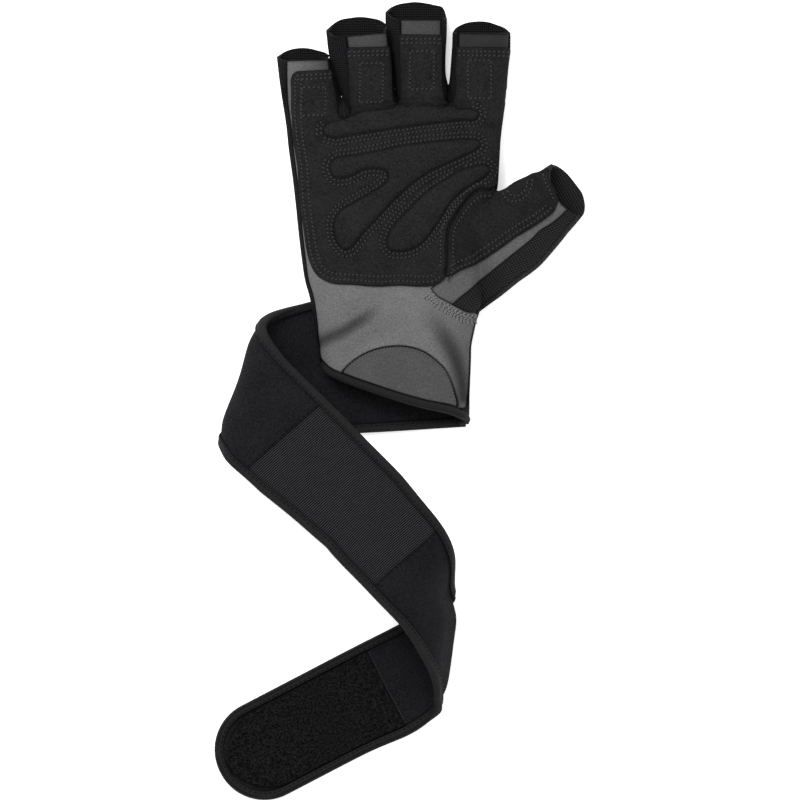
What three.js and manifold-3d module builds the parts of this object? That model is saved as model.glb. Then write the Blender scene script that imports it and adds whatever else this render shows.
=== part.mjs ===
// A fingerless weightlifting glove for the right hand. It lies on the back of the hand with its palm up,
// and its long wrist strap is unwrapped and rolled back on itself beside the cuff.
// Millimetres, +Z up. +Y runs to the fingers, +X to the thumb. The origin is on the flat underside of
// the back of the hand, below the middle of the palm.

import * as THREE from 'three';
import { mergeVertices } from 'three/addons/utils/BufferGeometryUtils.js';
import Module from 'manifold-3d';

const wasm = await Module();
wasm.setup();

// Hand: the hollow's outer size, lying flat
const palmWidth = 105;
const palmLength = 156;
const palmDepth = 27;
const fingerLength = 54;
const fingerWidth = 28.5;
const fingerDepth = 19;
const thumbLength = 64;
const thumbWidth = 30;
const thumbDepth = 20;
const thumbHeading = THREE.MathUtils.degToRad(27.8);

// Cloth and leather
const wall = 2;
const suede = 1.2;
const padRise = 1.5;
const backHeight = 5.5;
const cornerRadius = 6;
const gap = 0.3;
const cuffBindingWidth = 4.2;
const cuffBindingProud = 0.9;
const overlayMargin = 1.4;

// Wrist strap
const strapWidth = 50;
const strapLength = 441.6;
const bandThickness = 2;
const bindingWidth = 4.2;
const bindingThickness = 0.7;
const channelGap = 0.4;
const elasticLength = 82;
const hookLength = 91;
const hookThickness = 1.2;

// Proportions. centre: the origin's place along the palm from the cuff. fullness: the exponent that makes
// a round top fuller than an ellipse. leanLevel: the share of its depth at which a leaning tube keeps its
// place. fingerParting, thumbParting: the level where the palm side starts, in shares of the depth.
// flare, crotchEnd: how much wider a finger is at its crotch, and how far along that lasts. rootDraw: the
// width of a finger's hidden root. rootReach: how far a seam between fingers runs below the crotch.
// tipArc: the rise of the arc at a finger's opening, in shares of its width. faceWidth, faceLean: the
// suede's half width on a finger and its place over the lean. faceEdge: how far it reaches beside the
// index finger's middle at the crotch, in fingerWidth. elasticStart, tipRound: in strapWidth.
// leanFade: how far along the strap, in strapWidth, its facets turn from one fold to the next.
const ratio = {
  centre: 0.722,
  fullness: 2.4,
  leanLevel: 0.35,
  fingerParting: 0.78,
  thumbParting: 0.55,
  flare: 0.1,
  crotchEnd: 0.1,
  rootDraw: 0.75,
  rootReach: 0.3,
  tipArc: 0.19,
  faceWidth: 0.8,
  faceLean: 0.5,
  faceEdge: 0.45,
  elasticStart: 1.77,
  tipRound: 0.45,
  leanFade: 0.8,
};

// Fineness of the facets
const roundSteps = 6;
const cornerSteps = 2;
const flatSteps = 2;
const strokeSteps = 3;
const seamSteps = 13;
const tipSteps = 4;
const foldStep = THREE.MathUtils.degToRad(15);
// Places of the rings along a finger, in shares of its length, and of those across an opening, in shares
// of its half width
const fingerRings = [-0.4, 0, ratio.crotchEnd, 0.5, 1.1];
const openingRings = [-1.5, -1, -0.5, 0, 0.5, 1, 1.5];
// Rings close to a strap piece's ends, in strapWidth, and in its round tip, in shares of tipRound
const endRings = [0.06, 0.14, 0.24, 0.36];
const tipRings = [0.5, 0.75, 0.9, 1];

// Cross-sections of the palm from the cuff to the crotches: along as a share of palmLength from the
// cuff, the little finger's and the thumb's side as shares of palmWidth from the middle, the depth as a
// share of palmDepth, and where the palm side starts as a share of that depth
const palmSections = [
  { along: -0.02, little: -0.355, thumb: 0.285, depth: 0.78, parting: 0.6 },
  { along: 0.06, little: -0.359, thumb: 0.313, depth: 0.79, parting: 0.6 },
  { along: 0.16, little: -0.369, thumb: 0.327, depth: 0.82, parting: 0.6 },
  { along: 0.27, little: -0.385, thumb: 0.332, depth: 0.87, parting: 0.58 },
  { along: 0.37, little: -0.406, thumb: 0.373, depth: 0.95, parting: 0.55 },
  { along: 0.58, little: -0.46, thumb: 0.42, depth: 1, parting: 0.55 },
  { along: 0.77, little: -0.49, thumb: 0.457, depth: 0.97, parting: 0.55 },
  { along: 0.86, little: -0.509, thumb: 0.464, depth: 0.9, parting: 0.6 },
  { along: 0.94, little: -0.525, thumb: 0.476, depth: 0.8, parting: 0.72 },
  { along: 0.982, little: -0.53, thumb: 0.488, depth: 0.7, parting: 0.78 },
];

// Fingers, each an open tube. Their middles at the crotch and at the tip are shares of palmWidth, the
// ends of the back and of the palm side shares of fingerLength, widths and lean shares of fingerWidth.
// The lean is how far the palm face sits to the thumb's side of the back. The first is the little finger.
const fingers = [
  { root: -0.397, tip: -0.45, back: 0.58, palm: 0.463, rootWidth: 0.86, tipWidth: 0.877, lean: 0.09 },
  { root: -0.138, tip: -0.189, back: 0.863, palm: 0.7, rootWidth: 0.877, tipWidth: 0.963, lean: 0.15 },
  { root: 0.107, tip: 0.084, back: 1, palm: 0.83, rootWidth: 0.86, tipWidth: 0.98, lean: 0.06 },
  { root: 0.352, tip: 0.38, back: 0.822, palm: 0.717, rootWidth: 0.89, tipWidth: 1, lean: 0.05 },
];
const tipStrip = 5.2;

// Cross-sections of the thumb, back from its opening: along as a share of thumbLength, the crotch's
// side and the wrist's side as shares of thumbWidth from its middle line, depth as a share of thumbDepth
const thumbSections = [
  { along: -0.2, crotch: 0.5, wrist: -0.46, depth: 0.98 },
  { along: 0.055, crotch: 0.51, wrist: -0.557, depth: 1.02 },
  { along: 0.22, crotch: 0.515, wrist: -0.7, depth: 1.08 },
  { along: 0.44, crotch: 0.52, wrist: -0.885, depth: 1.18 },
  { along: 0.72, crotch: 0.5, wrist: -0.985, depth: 1.27 },
  { along: 0.98, crotch: 0.42, wrist: -1.06, depth: 1.2 },
];
// Middle of the thumb's opening: across and along in the palm's shares, and thumbLengths further across.
// The opening's ends on the back and on the palm side are thumbLengths beyond that middle.
const thumbOpening = { across: 0.453, along: 0.027, further: 0.53, back: 0.16, palm: -0.03 };

// Seams in plan, as shares of palmWidth across and of palmLength along, from the origin
const thumbSeam = [
  { across: 0.452, along: 0.03 },
  { across: 0.364, along: 0.031 },
  { across: 0.294, along: -0.009 },
  { across: 0.224, along: -0.088 },
  { across: 0.215, along: -0.195 },
  { across: 0.205, along: -0.276 },
  { across: 0.243, along: -0.33 },
  { across: 0.308, along: -0.356 },
  { across: 0.42, along: -0.358 },
];
const thumbClearance = { across: 0.12, along: 0.13 };
const wristEdge = [
  { across: -0.45, along: -0.475 },
  { across: -0.373, along: -0.503 },
  { across: -0.28, along: -0.543 },
  { across: -0.117, along: -0.581 },
  { across: 0.117, along: -0.628 },
  { across: 0.233, along: -0.644 },
  { across: 0.45, along: -0.665 },
];
const halfMoon = [
  { across: -0.271, along: -0.56 },
  { across: -0.233, along: -0.512 },
  { across: -0.14, along: -0.474 },
  { across: -0.023, along: -0.459 },
  { across: 0.117, along: -0.477 },
  { across: 0.21, along: -0.531 },
  { across: 0.257, along: -0.603 },
  { across: 0.275, along: -0.68 },
];
const overlayEdge = [
  { across: -0.49, along: 0.41 },
  { across: -0.498, along: 0.236 },
  { across: -0.485, along: 0.157 },
  { across: -0.467, along: 0.03 },
  { across: -0.443, along: -0.094 },
  { across: -0.41, along: -0.204 },
  { across: -0.35, along: -0.254 },
  { across: -0.2, along: -0.27 },
  { across: 0.1, along: -0.272 },
  { across: 0.22, along: -0.252 },
];

// Lower edge of the thumb's suede and the grey's edge to the back of the thumb, as shares of thumbLength
// back from the opening and of thumbWidth from the thumb's middle line
const thumbSuedeEdge = [
  { along: 0.03, across: 0.44 },
  { along: 0.03, across: 0.1 },
  { along: 0.1, across: -0.137 },
  { along: 0.33, across: -0.27 },
  { along: 0.65, across: -0.33 },
  { along: 1.25, across: -0.36 },
];
const thumbGreyEdge = [
  { along: -0.3, across: -0.2 },
  { along: 0.06, across: -0.28 },
  { along: 0.31, across: -0.38 },
  { along: 0.61, across: -0.5 },
  { along: 0.9, across: -0.56 },
  { along: 1.3, across: -0.8 },
];

// Raised pads, each a stroke with round ends: its middle line in shares of palmWidth and palmLength,
// and its width as a share of palmWidth
const pads = [
  [
    { across: -0.313, along: 0.214, width: 0.089 },
    { across: -0.163, along: 0.236, width: 0.122 },
    { across: 0.047, along: 0.255, width: 0.117 },
    { across: 0.233, along: 0.26, width: 0.079 },
    { across: 0.364, along: 0.265, width: 0.047 },
  ],
  [
    { across: -0.289, along: 0.104, width: 0.11 },
    { across: -0.14, along: 0.126, width: 0.103 },
    { across: 0.047, along: 0.141, width: 0.131 },
    { across: 0.21, along: 0.157, width: 0.121 },
    { across: 0.345, along: 0.176, width: 0.065 },
  ],
  [
    { across: 0.345, along: 0.172, width: 0.06 },
    { across: 0.187, along: 0.136, width: 0.1 },
    { across: 0, along: 0.053, width: 0.14 },
    { across: -0.149, along: -0.041, width: 0.14 },
    { across: -0.257, along: -0.11, width: 0.093 },
  ],
  [
    { across: 0.383, along: 0.091, width: 0.051 },
    { across: 0.257, along: 0.044, width: 0.098 },
    { across: 0.14, along: -0.022, width: 0.135 },
    { across: 0.023, along: -0.11, width: 0.154 },
  ],
];

// Flat pattern of the strap: at is the way along it from the little finger's side of the cuff, upper and
// lower are its half widths, all as shares of strapWidth
const strapPattern = [
  { at: -1.5, upper: 0.364, lower: 0.961 },
  { at: 0, upper: 0.364, lower: 0.961 },
  { at: 1.2, upper: 0.22, lower: 0.92 },
  { at: 2.8, upper: 0.337, lower: 0.658 },
];
const strapStart = { across: -0.395, along: -0.432, heading: THREE.MathUtils.degToRad(3.4) };

// Rounded folds of the strap, all rolling the same way: at is where each starts, radius is its inner
// radius to the middle of the band, both as shares of strapWidth, with its tilt and turn in degrees.
// The turns make a full circle about lines that differ a little, so that the strap's end lies flat.
const folds = [
  { at: 0.24, tilt: 25.9, radius: 0.3, turn: 171.5 },
  { at: 3.31, tilt: 36.2, radius: 0.47, turn: 85 },
  { at: 4.606, tilt: 37.757, radius: 0.16, turn: 103.36 },
];

// Closed meshes to solids and back

function solid(geometry, weld = 1e-4) {
  const bare = geometry.clone();
  bare.deleteAttribute('normal');
  bare.deleteAttribute('uv');
  const merged = mergeVertices(bare, weld);
  return new wasm.Manifold(new wasm.Mesh({
    numProp: 3,
    vertProperties: new Float32Array(merged.attributes.position.array),
    triVerts: new Uint32Array(merged.index.array),
  }));
}

function meshOf(bodies) {
  const mesh = bodies.getMesh();
  const geometry = new THREE.BufferGeometry();
  const positions = [];
  for (let i = 0; i < mesh.numVert; i += 1) {
    positions.push(...mesh.vertProperties.slice(i * mesh.numProp, i * mesh.numProp + 3));
  }
  geometry.setAttribute('position', new THREE.Float32BufferAttribute(positions, 3));
  geometry.setIndex([...mesh.triVerts]);
  return geometry;
}

// The main body of a cut piece: cuts along faces that coincide leave slivers beside it, which part from
// it once points closer than the weld are one
function mainBody(bodies) {
  const weld = 2e-3;
  const parts = solid(meshOf(bodies), weld).decompose();
  return parts.sort((a, b) => b.volume() - a.volume())[0];
}

// A solid through rings of equally many [x, y, z] points. Its ends are closed by fans, or by the
// triangles of the rings' own flat outline where that isn't convex.
function loft(rings, outline) {
  const count = rings[0].length;
  const positions = rings.flat(2);
  const index = [];
  for (let i = 0; i < rings.length - 1; i += 1) {
    for (let j = 0; j < count; j += 1) {
      const a = i * count + j;
      const b = i * count + ((j + 1) % count);
      index.push(a, b, b + count, a, b + count, a + count);
    }
  }
  for (const end of [0, rings.length - 1]) {
    const corners = outline ? outlineTriangles(outline) : fan(rings[end], count);
    if (!outline) {
      positions.push(...middleOf(rings[end]));
    }
    const hub = positions.length / 3 - 1;
    for (const corner of corners) {
      const [a, b, c] = corner.map((j) => (j === count ? hub : end * count + j));
      index.push(...(end === 0 ? [a, c, b] : [a, b, c]));
    }
  }
  return facingOut(positions, index);
}

const mean = (values) => values.reduce((sum, value) => sum + value, 0) / values.length;
const middleOf = (ring) => [0, 1, 2].map((axis) => mean(ring.map((point) => point[axis])));
const fan = (ring, hub) => ring.map((_, j) => [hub, j, (j + 1) % ring.length]);

// Triangles of a flat outline, turning the way the outline does
function outlineTriangles(outline) {
  const points = outline.map(([x, y]) => new THREE.Vector2(x, y));
  const triangles = THREE.ShapeUtils.triangulateShape(points, []);
  const turn = ([a, b, c]) => (b.x - a.x) * (c.y - a.y) - (b.y - a.y) * (c.x - a.x);
  const way = THREE.ShapeUtils.area(points);
  return triangles.map((corners) => {
    const isSame = turn(corners.map((i) => points[i])) * way > 0;
    return isSame ? corners : corners.reverse();
  });
}

// The same mesh with its faces pointing out
function facingOut(positions, index) {
  let volume = 0;
  const corner = (i) => new THREE.Vector3(...positions.slice(3 * index[i], 3 * index[i] + 3));
  for (let i = 0; i < index.length; i += 3) {
    volume += corner(i).dot(corner(i + 1).cross(corner(i + 2)));
  }
  if (volume < 0) {
    index.reverse();
  }
  const geometry = new THREE.BufferGeometry();
  geometry.setAttribute('position', new THREE.Float32BufferAttribute(positions, 3));
  geometry.setIndex(index);
  return solid(geometry);
}

// An upright prism on a plan outline of [x, y] points
function prism(outline, low, high) {
  const shape = new THREE.Shape(outline.map(([x, y]) => new THREE.Vector2(x, y)));
  const geometry = new THREE.ExtrudeGeometry(shape, { depth: high - low, bevelEnabled: false });
  return solid(geometry.translate(0, 0, low));
}

// A prism along X on an outline of [y, z] points
function prismAcross(outline, reach) {
  const shape = new THREE.Shape(outline.map(([y, z]) => new THREE.Vector2(y, z)));
  const geometry = new THREE.ExtrudeGeometry(shape, { depth: 2 * reach, bevelEnabled: false });
  const turn = new THREE.Matrix4().set(0, 0, 1, -reach, 1, 0, 0, 0, 0, 1, 0, 0, 0, 0, 0, 1);
  return solid(geometry.applyMatrix4(turn));
}

const join = (solids) => solids.reduce((all, one) => all.add(one));

// Plan outlines

const far = 2 * palmWidth;
const tall = 3 * palmDepth;
const bottom = -palmDepth;

// A smooth line through few [x, y] points
function smooth(points, steps) {
  const curve = new THREE.SplineCurve(points.map(([x, y]) => new THREE.Vector2(x, y)));
  return curve.getPoints(steps).map((point) => [point.x, point.y]);
}

// A closed outline moved outwards by a distance
function outset(outline, distance) {
  const area = outline.reduce((sum, [x, y], i) => {
    const [u, v] = outline[(i + 1) % outline.length];
    return sum + x * v - u * y;
  }, 0);
  const side = Math.sign(area) * distance;
  const normals = outline.map(([x, y], i) => {
    const [u, v] = outline[(i + 1) % outline.length];
    const length = Math.hypot(u - x, v - y);
    return [(v - y) / length, (x - u) / length];
  });
  return outline.map(([x, y], i) => {
    const [a, b] = normals[(i + outline.length - 1) % outline.length];
    const [c, d] = normals[i];
    const stretch = 1 + a * c + b * d;
    return [x + (side * (a + c)) / stretch, y + (side * (b + d)) / stretch];
  });
}

const palmPlace = ({ across, along }) => [across * palmWidth, along * palmLength];
const cuffY = -ratio.centre * palmLength;
const crotchY = cuffY + palmLength;

// Points of a half circle round the end of a line that runs in a direction, from its left to its right
function roundEnd([x, y], [u, v], radius) {
  return [60, 0, -60].map((turn) => {
    const angle = THREE.MathUtils.degToRad(turn);
    const [p, q] = [Math.cos(angle) * radius, Math.sin(angle) * radius];
    return [x + u * p - v * q, y + v * p + u * q];
  });
}

// The outline of a stroke with round ends
function stroke(rows) {
  const middle = smooth(rows.map(palmPlace), strokeSteps * (rows.length - 1));
  const places = middle.map(([x, y], i) => {
    const [x0, y0] = middle[Math.max(i - 1, 0)];
    const [x1, y1] = middle[Math.min(i + 1, middle.length - 1)];
    const length = Math.hypot(x1 - x0, y1 - y0);
    const place = i / strokeSteps;
    const row = Math.min(Math.floor(place), rows.length - 2);
    const width = THREE.MathUtils.lerp(rows[row].width, rows[row + 1].width, place - row) * palmWidth;
    return { x, y, ahead: [(x1 - x0) / length, (y1 - y0) / length], half: width / 2 };
  });
  const left = places.map(({ x, y, ahead: [u, v], half }) => [x - v * half, y + u * half]);
  const right = places.map(({ x, y, ahead: [u, v], half }) => [x + v * half, y - u * half]);
  const [first, last] = [places[0], places.at(-1)];
  return [
    ...left,
    ...roundEnd([last.x, last.y], last.ahead, last.half),
    ...right.reverse(),
    ...roundEnd([first.x, first.y], first.ahead.map((step) => -step), first.half),
  ];
}

// Cross-section of a hollow that lies on its back: flat below, round corners and a full round top.
// It runs from low to high across, and every side moves out by grow.
function section({ low, high, depth, lean = 0 }, grow) {
  const middle = (low + high) / 2;
  const half = (high - low) / 2 + grow;
  const corner = cornerRadius + grow;
  const rise = depth - cornerRadius;
  const power = 2 / ratio.fullness;
  const points = [];
  for (let i = 0; i < flatSteps; i += 1) {
    points.push([(2 * i / flatSteps - 1) * (half - corner), -grow]);
  }
  for (let i = 0; i < cornerSteps; i += 1) {
    const angle = (Math.PI / 2) * (i / cornerSteps);
    points.push([half - corner + corner * Math.sin(angle), cornerRadius - corner * Math.cos(angle)]);
  }
  for (let i = 0; i < 2 * roundSteps; i += 1) {
    const angle = (Math.PI / 2) * (i / roundSteps);
    const across = Math.sign(Math.cos(angle)) * Math.abs(Math.cos(angle)) ** power;
    points.push([half * across, cornerRadius + (rise + grow) * Math.sin(angle) ** power]);
  }
  for (let i = 0; i < cornerSteps; i += 1) {
    const angle = (Math.PI / 2) * (1 - i / cornerSteps);
    points.push([corner - half - corner * Math.sin(angle), cornerRadius - corner * Math.cos(angle)]);
  }
  return points.map(([v, z]) => [middle + v + lean * (z / depth - ratio.leanLevel), z]);
}

function palmBody(grow) {
  const rings = palmSections.map((row, i) => {
    const end = i === palmSections.length - 1 ? grow : 0;
    const y = cuffY + row.along * palmLength + end;
    const [low, high] = [row.little * palmWidth, row.thumb * palmWidth];
    return section({ low, high, depth: row.depth * palmDepth }, grow).map(([x, z]) => [x, y, z]);
  });
  return loft(rings);
}

// Where a finger's middle is and how wide it is, at a share of its length from the crotch
function fingerAt(finger, share) {
  const middle = THREE.MathUtils.lerp(finger.root, finger.tip, share) * palmWidth;
  const flare = share < ratio.crotchEnd / 2 ? ratio.flare : 0;
  const width = THREE.MathUtils.lerp(finger.rootWidth, finger.tipWidth, share) + flare;
  return { middle, half: (width * fingerWidth) / 2 };
}

function fingerBody(finger, grow) {
  const lean = finger.lean * fingerWidth;
  const rings = fingerRings.map((share) => {
    const { middle, half } = fingerAt(finger, share);
    const reach = share < 0 ? ratio.rootDraw * half : half;
    const y = crotchY + share * finger.back * fingerLength;
    const size = { low: middle - reach, high: middle + reach, depth: fingerDepth, lean };
    return section(size, grow).map(([x, z]) => [x, y, z]);
  });
  return loft(rings);
}

const thumbAxis = [Math.cos(thumbHeading), Math.sin(thumbHeading)];
const thumbMouth = [
  thumbOpening.across * palmWidth + thumbOpening.further * thumbLength,
  thumbOpening.along * palmLength,
];

// A plan point of the thumb: back from its opening, and across to the crotch's side
function thumbPlace(back, across) {
  const [u, v] = thumbAxis;
  return [thumbMouth[0] - u * back - v * across, thumbMouth[1] - v * back + u * across];
}

const thumbRow = ({ along, across }) => thumbPlace(along * thumbLength, across * thumbWidth);

function thumbBody(grow) {
  const rings = thumbSections.map((row) => {
    const back = row.along * thumbLength;
    const [low, high] = [row.wrist * thumbWidth, row.crotch * thumbWidth];
    const points = section({ low, high, depth: row.depth * thumbDepth }, grow);
    return points.map(([across, z]) => [...thumbPlace(back, across), z]);
  });
  return loft(rings);
}

// What is cut off a tube's end: a plane leans from the back's edge to the palm's edge, and from above the
// back's edge is an arc. place takes a distance along the tube and one across it.
function openingCut(place, { half, back, palm, depth }) {
  const arc = ratio.tipArc * 2 * half;
  const beyond = back + 2 * fingerWidth;
  const low = -depth / 4;
  const rings = openingRings.map((share) => {
    const edge = back - arc * Math.min(share * share, 1);
    const under = edge + (edge - palm) / 4;
    const outline = [[under, low], [palm, depth], [palm, tall], [beyond, tall], [beyond, low]];
    return outline.map(([along, z]) => [...place(along, share * half), z]);
  });
  return loft(rings);
}

const fingerCuts = fingers.map((finger) => openingCut(
  (along, across) => {
    const share = along / (finger.back * fingerLength);
    return [fingerAt(finger, Math.max(share, ratio.crotchEnd)).middle + across, crotchY + along];
  },
  {
    half: fingerAt(finger, 1).half,
    back: finger.back * fingerLength,
    palm: finger.palm * fingerLength,
    depth: fingerDepth,
  },
));
const thumbCut = openingCut(
  (along, across) => thumbPlace(-along, across),
  {
    half: thumbWidth / 2,
    back: thumbOpening.back * thumbLength,
    palm: thumbOpening.palm * thumbLength,
    depth: thumbDepth,
  },
);

// The whole hand as one solid, its sides moved out by grow. Only an outer side has its tubes cut off, so
// that what is taken from inside it runs out through the openings.
function hand(grow, isOuter) {
  const tubes = fingers.map((finger, i) => {
    const tube = fingerBody(finger, grow);
    return isOuter ? tube.subtract(fingerCuts[i]) : tube;
  });
  const thumb = thumbBody(grow);
  return join([palmBody(grow), ...tubes, isOuter ? thumb.subtract(thumbCut) : thumb]);
}

const shell = hand(0, true).subtract(hand(-wall, false));

// Levels and regions that part the shell into its pieces

const partingRows = [
  ...palmSections.map((row) => [cuffY + row.along * palmLength, row.depth * palmDepth * row.parting]),
  [crotchY + ratio.crotchEnd * fingerLength, fingerDepth * ratio.fingerParting],
  [crotchY + 2 * fingerLength, fingerDepth * ratio.fingerParting],
];
// What lies between the parting level, moved up by lift, and another level
function fromPalmLine(lift, level) {
  const parting = partingRows.map(([y, z]) => [y, z + lift]);
  const ends = [[parting.at(-1)[0], level], [cuffY - palmDepth, level]];
  return prismAcross([...parting, ...ends], far);
}

const crotch = palmPlace(thumbSeam[0]);
const thumbSeamLine = smooth(thumbSeam.map(palmPlace), seamSteps);
const seamEnd = thumbSeamLine.at(-1);
const clearOfThumb = [
  crotch[0] + thumbClearance.across * palmWidth,
  crotch[1] + thumbClearance.along * palmLength,
];
const wristLine = smooth(wristEdge.map(palmPlace), seamSteps);
const moonLine = smooth(halfMoon.map(palmPlace), seamSteps);
const thumbRegion = [
  ...thumbSeamLine,
  [far, seamEnd[1]],
  [far, clearOfThumb[1]],
  clearOfThumb,
];
const palmRegion = [
  ...thumbSeamLine,
  [wristLine.at(-1)[0], seamEnd[1]],
  ...[...wristLine].reverse(),
  [-far, wristLine[0][1]],
  [-far, far],
  [clearOfThumb[0], far],
  clearOfThumb,
];
const moonRegion = [...moonLine, [moonLine.at(-1)[0], -far], [moonLine[0][0], -far]];

const greyRegion = [
  ...smooth(thumbGreyEdge.map(thumbRow), seamSteps),
  thumbPlace(thumbGreyEdge.at(-1).along * thumbLength, 2 * thumbWidth),
  thumbPlace(thumbGreyEdge[0].along * thumbLength, 2 * thumbWidth),
];
const thumbLevel = ratio.thumbParting * thumbDepth;

// Strap: its flat pattern, and the folds that roll it

const stack = bandThickness + 2 * channelGap + 2 * bindingThickness;
const strapDown = [-Math.cos(strapStart.heading), -Math.sin(strapStart.heading)];
const strapUp = [-Math.sin(strapStart.heading), Math.cos(strapStart.heading)];

// Half width of the strap above or below its middle line, at a length along it
function strapHalf(side, s) {
  const place = THREE.MathUtils.clamp(s / strapWidth, strapPattern[0].at, strapPattern.at(-1).at);
  const after = Math.max(strapPattern.findIndex((row) => row.at >= place), 1);
  const [a, b] = [strapPattern[after - 1], strapPattern[after]];
  return THREE.MathUtils.mapLinear(place, a.at, b.at, a[side], b[side]) * strapWidth;
}

const strapOrigin = palmPlace(strapStart);
const strapFlat = (s, v) => [
  strapOrigin[0] + s * strapDown[0] + v * strapUp[0],
  strapOrigin[1] + s * strapDown[1] + v * strapUp[1],
];

// A point of the flat pattern, lift above its middle, carried through the rounded folds
function folded(s, v, lift) {
  const flat = strapFlat(s, v);
  let point = [...flat, lift];
  for (const fold of [...folds].reverse()) {
    const start = strapFlat(fold.at * strapWidth, 0);
    const tilt = THREE.MathUtils.degToRad(fold.tilt) - strapStart.heading;
    const turn = THREE.MathUtils.degToRad(fold.turn);
    const radius = fold.radius * strapWidth;
    const [along, off] = [[-Math.cos(tilt), Math.sin(tilt)], [Math.sin(tilt), Math.cos(tilt)]];
    const reach = (flat[0] - start[0]) * along[0] + (flat[1] - start[1]) * along[1];
    if (reach <= 0) {
      continue;
    }
    const now = [point[0] - start[0], point[1] - start[1]];
    const side = now[0] * off[0] + now[1] * off[1];
    const isPast = reach >= radius * turn;
    const angle = isPast ? turn : reach / radius;
    const rest = isPast ? now[0] * along[0] + now[1] * along[1] - radius * turn : 0;
    const run = (radius - point[2]) * Math.sin(angle) + rest * Math.cos(angle);
    const rise = radius - (radius - point[2]) * Math.cos(angle) + rest * Math.sin(angle);
    point = [
      start[0] + run * along[0] + side * off[0],
      start[1] + run * along[1] + side * off[1],
      rise,
    ];
  }
  return [point[0], point[1], point[2] + stack / 2];
}

const strapRoot = strapPattern[0].at * strapWidth;
const strapEnd = strapRoot + strapLength;

// How far along the strap a fold reaches
function foldLength(fold) {
  const turn = THREE.MathUtils.degToRad(fold.turn);
  return (fold.radius * strapWidth * turn) / Math.cos(THREE.MathUtils.degToRad(fold.tilt));
}

// Lengths along the strap that carry its facets: close in the folds, but never closer than a small gap
function strapSteps(from, to, others = []) {
  const marks = new Set([from, to, ...others]);
  for (const fold of folds) {
    const count = Math.ceil(THREE.MathUtils.degToRad(fold.turn) / foldStep);
    for (let i = 0; i <= count; i += 1) {
      marks.add(fold.at * strapWidth + (foldLength(fold) * i) / count);
    }
  }
  const inside = [...marks].filter((s) => s >= from && s <= to).sort((a, b) => a - b);
  const steps = [];
  inside.forEach((s, i) => {
    const before = inside[i - 1];
    const parts = i === 0 ? 1 : Math.ceil((s - before) / (strapWidth / 3));
    for (let part = 1; part < parts; part += 1) {
      steps.push(before + ((s - before) * part) / parts);
    }
    if (i === 0 || s - before > channelGap || i === inside.length - 1) {
      steps.push(s);
    }
  });
  return steps;
}

// How far the folds' lines lean along the strap for each step across it, eased to none at both ends
function strapLean(s) {
  const rows = folds.flatMap((fold) => {
    const start = fold.at * strapWidth;
    const lean = -Math.tan(THREE.MathUtils.degToRad(fold.tilt));
    return [[start, lean], [start + foldLength(fold), lean]];
  });
  const fade = ratio.leanFade * strapWidth;
  const all = [[rows[0][0] - fade, 0], ...rows, [rows.at(-1)[0] + fade, 0]];
  const after = all.findIndex(([place]) => place > s);
  if (after <= 0) {
    return 0;
  }
  const [a, b] = [all[after - 1], all[after]];
  return THREE.MathUtils.mapLinear(s, a[0], b[0], a[1], b[1]);
}

// Half widths at a length along the strap, with the strap's rounded tip, drawn in by inset
function strapSides(s, inset) {
  const round = ratio.tipRound * strapWidth;
  const late = THREE.MathUtils.clamp((s - (strapEnd - inset - round)) / round, 0, 1);
  const draw = round * (1 - Math.sqrt(1 - late * late));
  return [strapHalf('upper', s) - inset - draw, -strapHalf('lower', s) + inset + draw];
}

// A flat piece of the strap from one length to another, drawn in from the strap's edge by inset and
// lying between two heights in its thickness. columns are its strips across. Its facets lean with the
// folds, but not at its two ends.
function strapPiece({ from, to, inset, low, high, columns }) {
  const nearEnds = endRings.flatMap((share) => [from + share * strapWidth, to - share * strapWidth]);
  const round = ratio.tipRound * strapWidth;
  const isTip = to > strapEnd - inset - gap;
  const plain = strapSteps(from, to, nearEnds).filter((s) => !isTip || s < to - tipRings[0] * round);
  const tip = isTip ? tipRings.map((share) => to - round * (1 - share)) : [];
  const easing = endRings.at(-1) * strapWidth;
  const rings = [...plain, ...tip].map((s) => {
    const lean = strapLean(s) * Math.min((s - from) / easing, (to - s) / easing, 1);
    const [upper, lower] = strapSides(s, inset);
    const across = [];
    for (let i = 0; i <= columns; i += 1) {
      across.push(THREE.MathUtils.lerp(upper, lower, i / columns));
    }
    const top = across.map((v) => folded(s + lean * v, v, high));
    const under = across.map((v) => folded(s + lean * v, v, low));
    return [...top, ...under.reverse()];
  });
  return loft(rings);
}

// The binding: a channel folded over the strap's edge, along one side, round the tip and back
function strapBinding() {
  const round = ratio.tipRound * strapWidth;
  const path = strapSteps(strapRoot, strapEnd - round).map((s) => (
    { s, v: strapHalf('upper', s), inward: [0, -1], lean: strapLean(s) }
  ));
  for (let i = 1; i <= tipSteps; i += 1) {
    const angle = (Math.PI / 2) * (i / tipSteps);
    path.push({
      s: strapEnd - round * (1 - Math.sin(angle)),
      v: strapHalf('upper', strapEnd) - round * (1 - Math.cos(angle)),
      inward: [-Math.sin(angle), -Math.cos(angle)],
      lean: 0,
    });
  }
  const lowerPath = path.map(({ s, inward, lean }, i) => {
    const reach = strapHalf('upper', s) - path[i].v;
    return { s, v: -strapHalf('lower', s) + reach, inward: [inward[0], -inward[1]], lean };
  });
  const half = stack / 2;
  const leg = half - bindingThickness;
  const profile = [
    [0, -half], [bindingWidth, -half], [bindingWidth, -leg], [bindingThickness, -leg],
    [bindingThickness, leg], [bindingWidth, leg], [bindingWidth, half], [0, half],
  ];
  const ring = ({ s, v, inward, lean }) => profile.map(([depth, lift]) => {
    const at = v + inward[1] * depth;
    return folded(s + inward[0] * depth + lean * at, at, lift);
  });
  return loft([...path, ...lowerPath.reverse()].map(ring), profile);
}

// Pieces

const strapTop = stack + gap;
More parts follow.
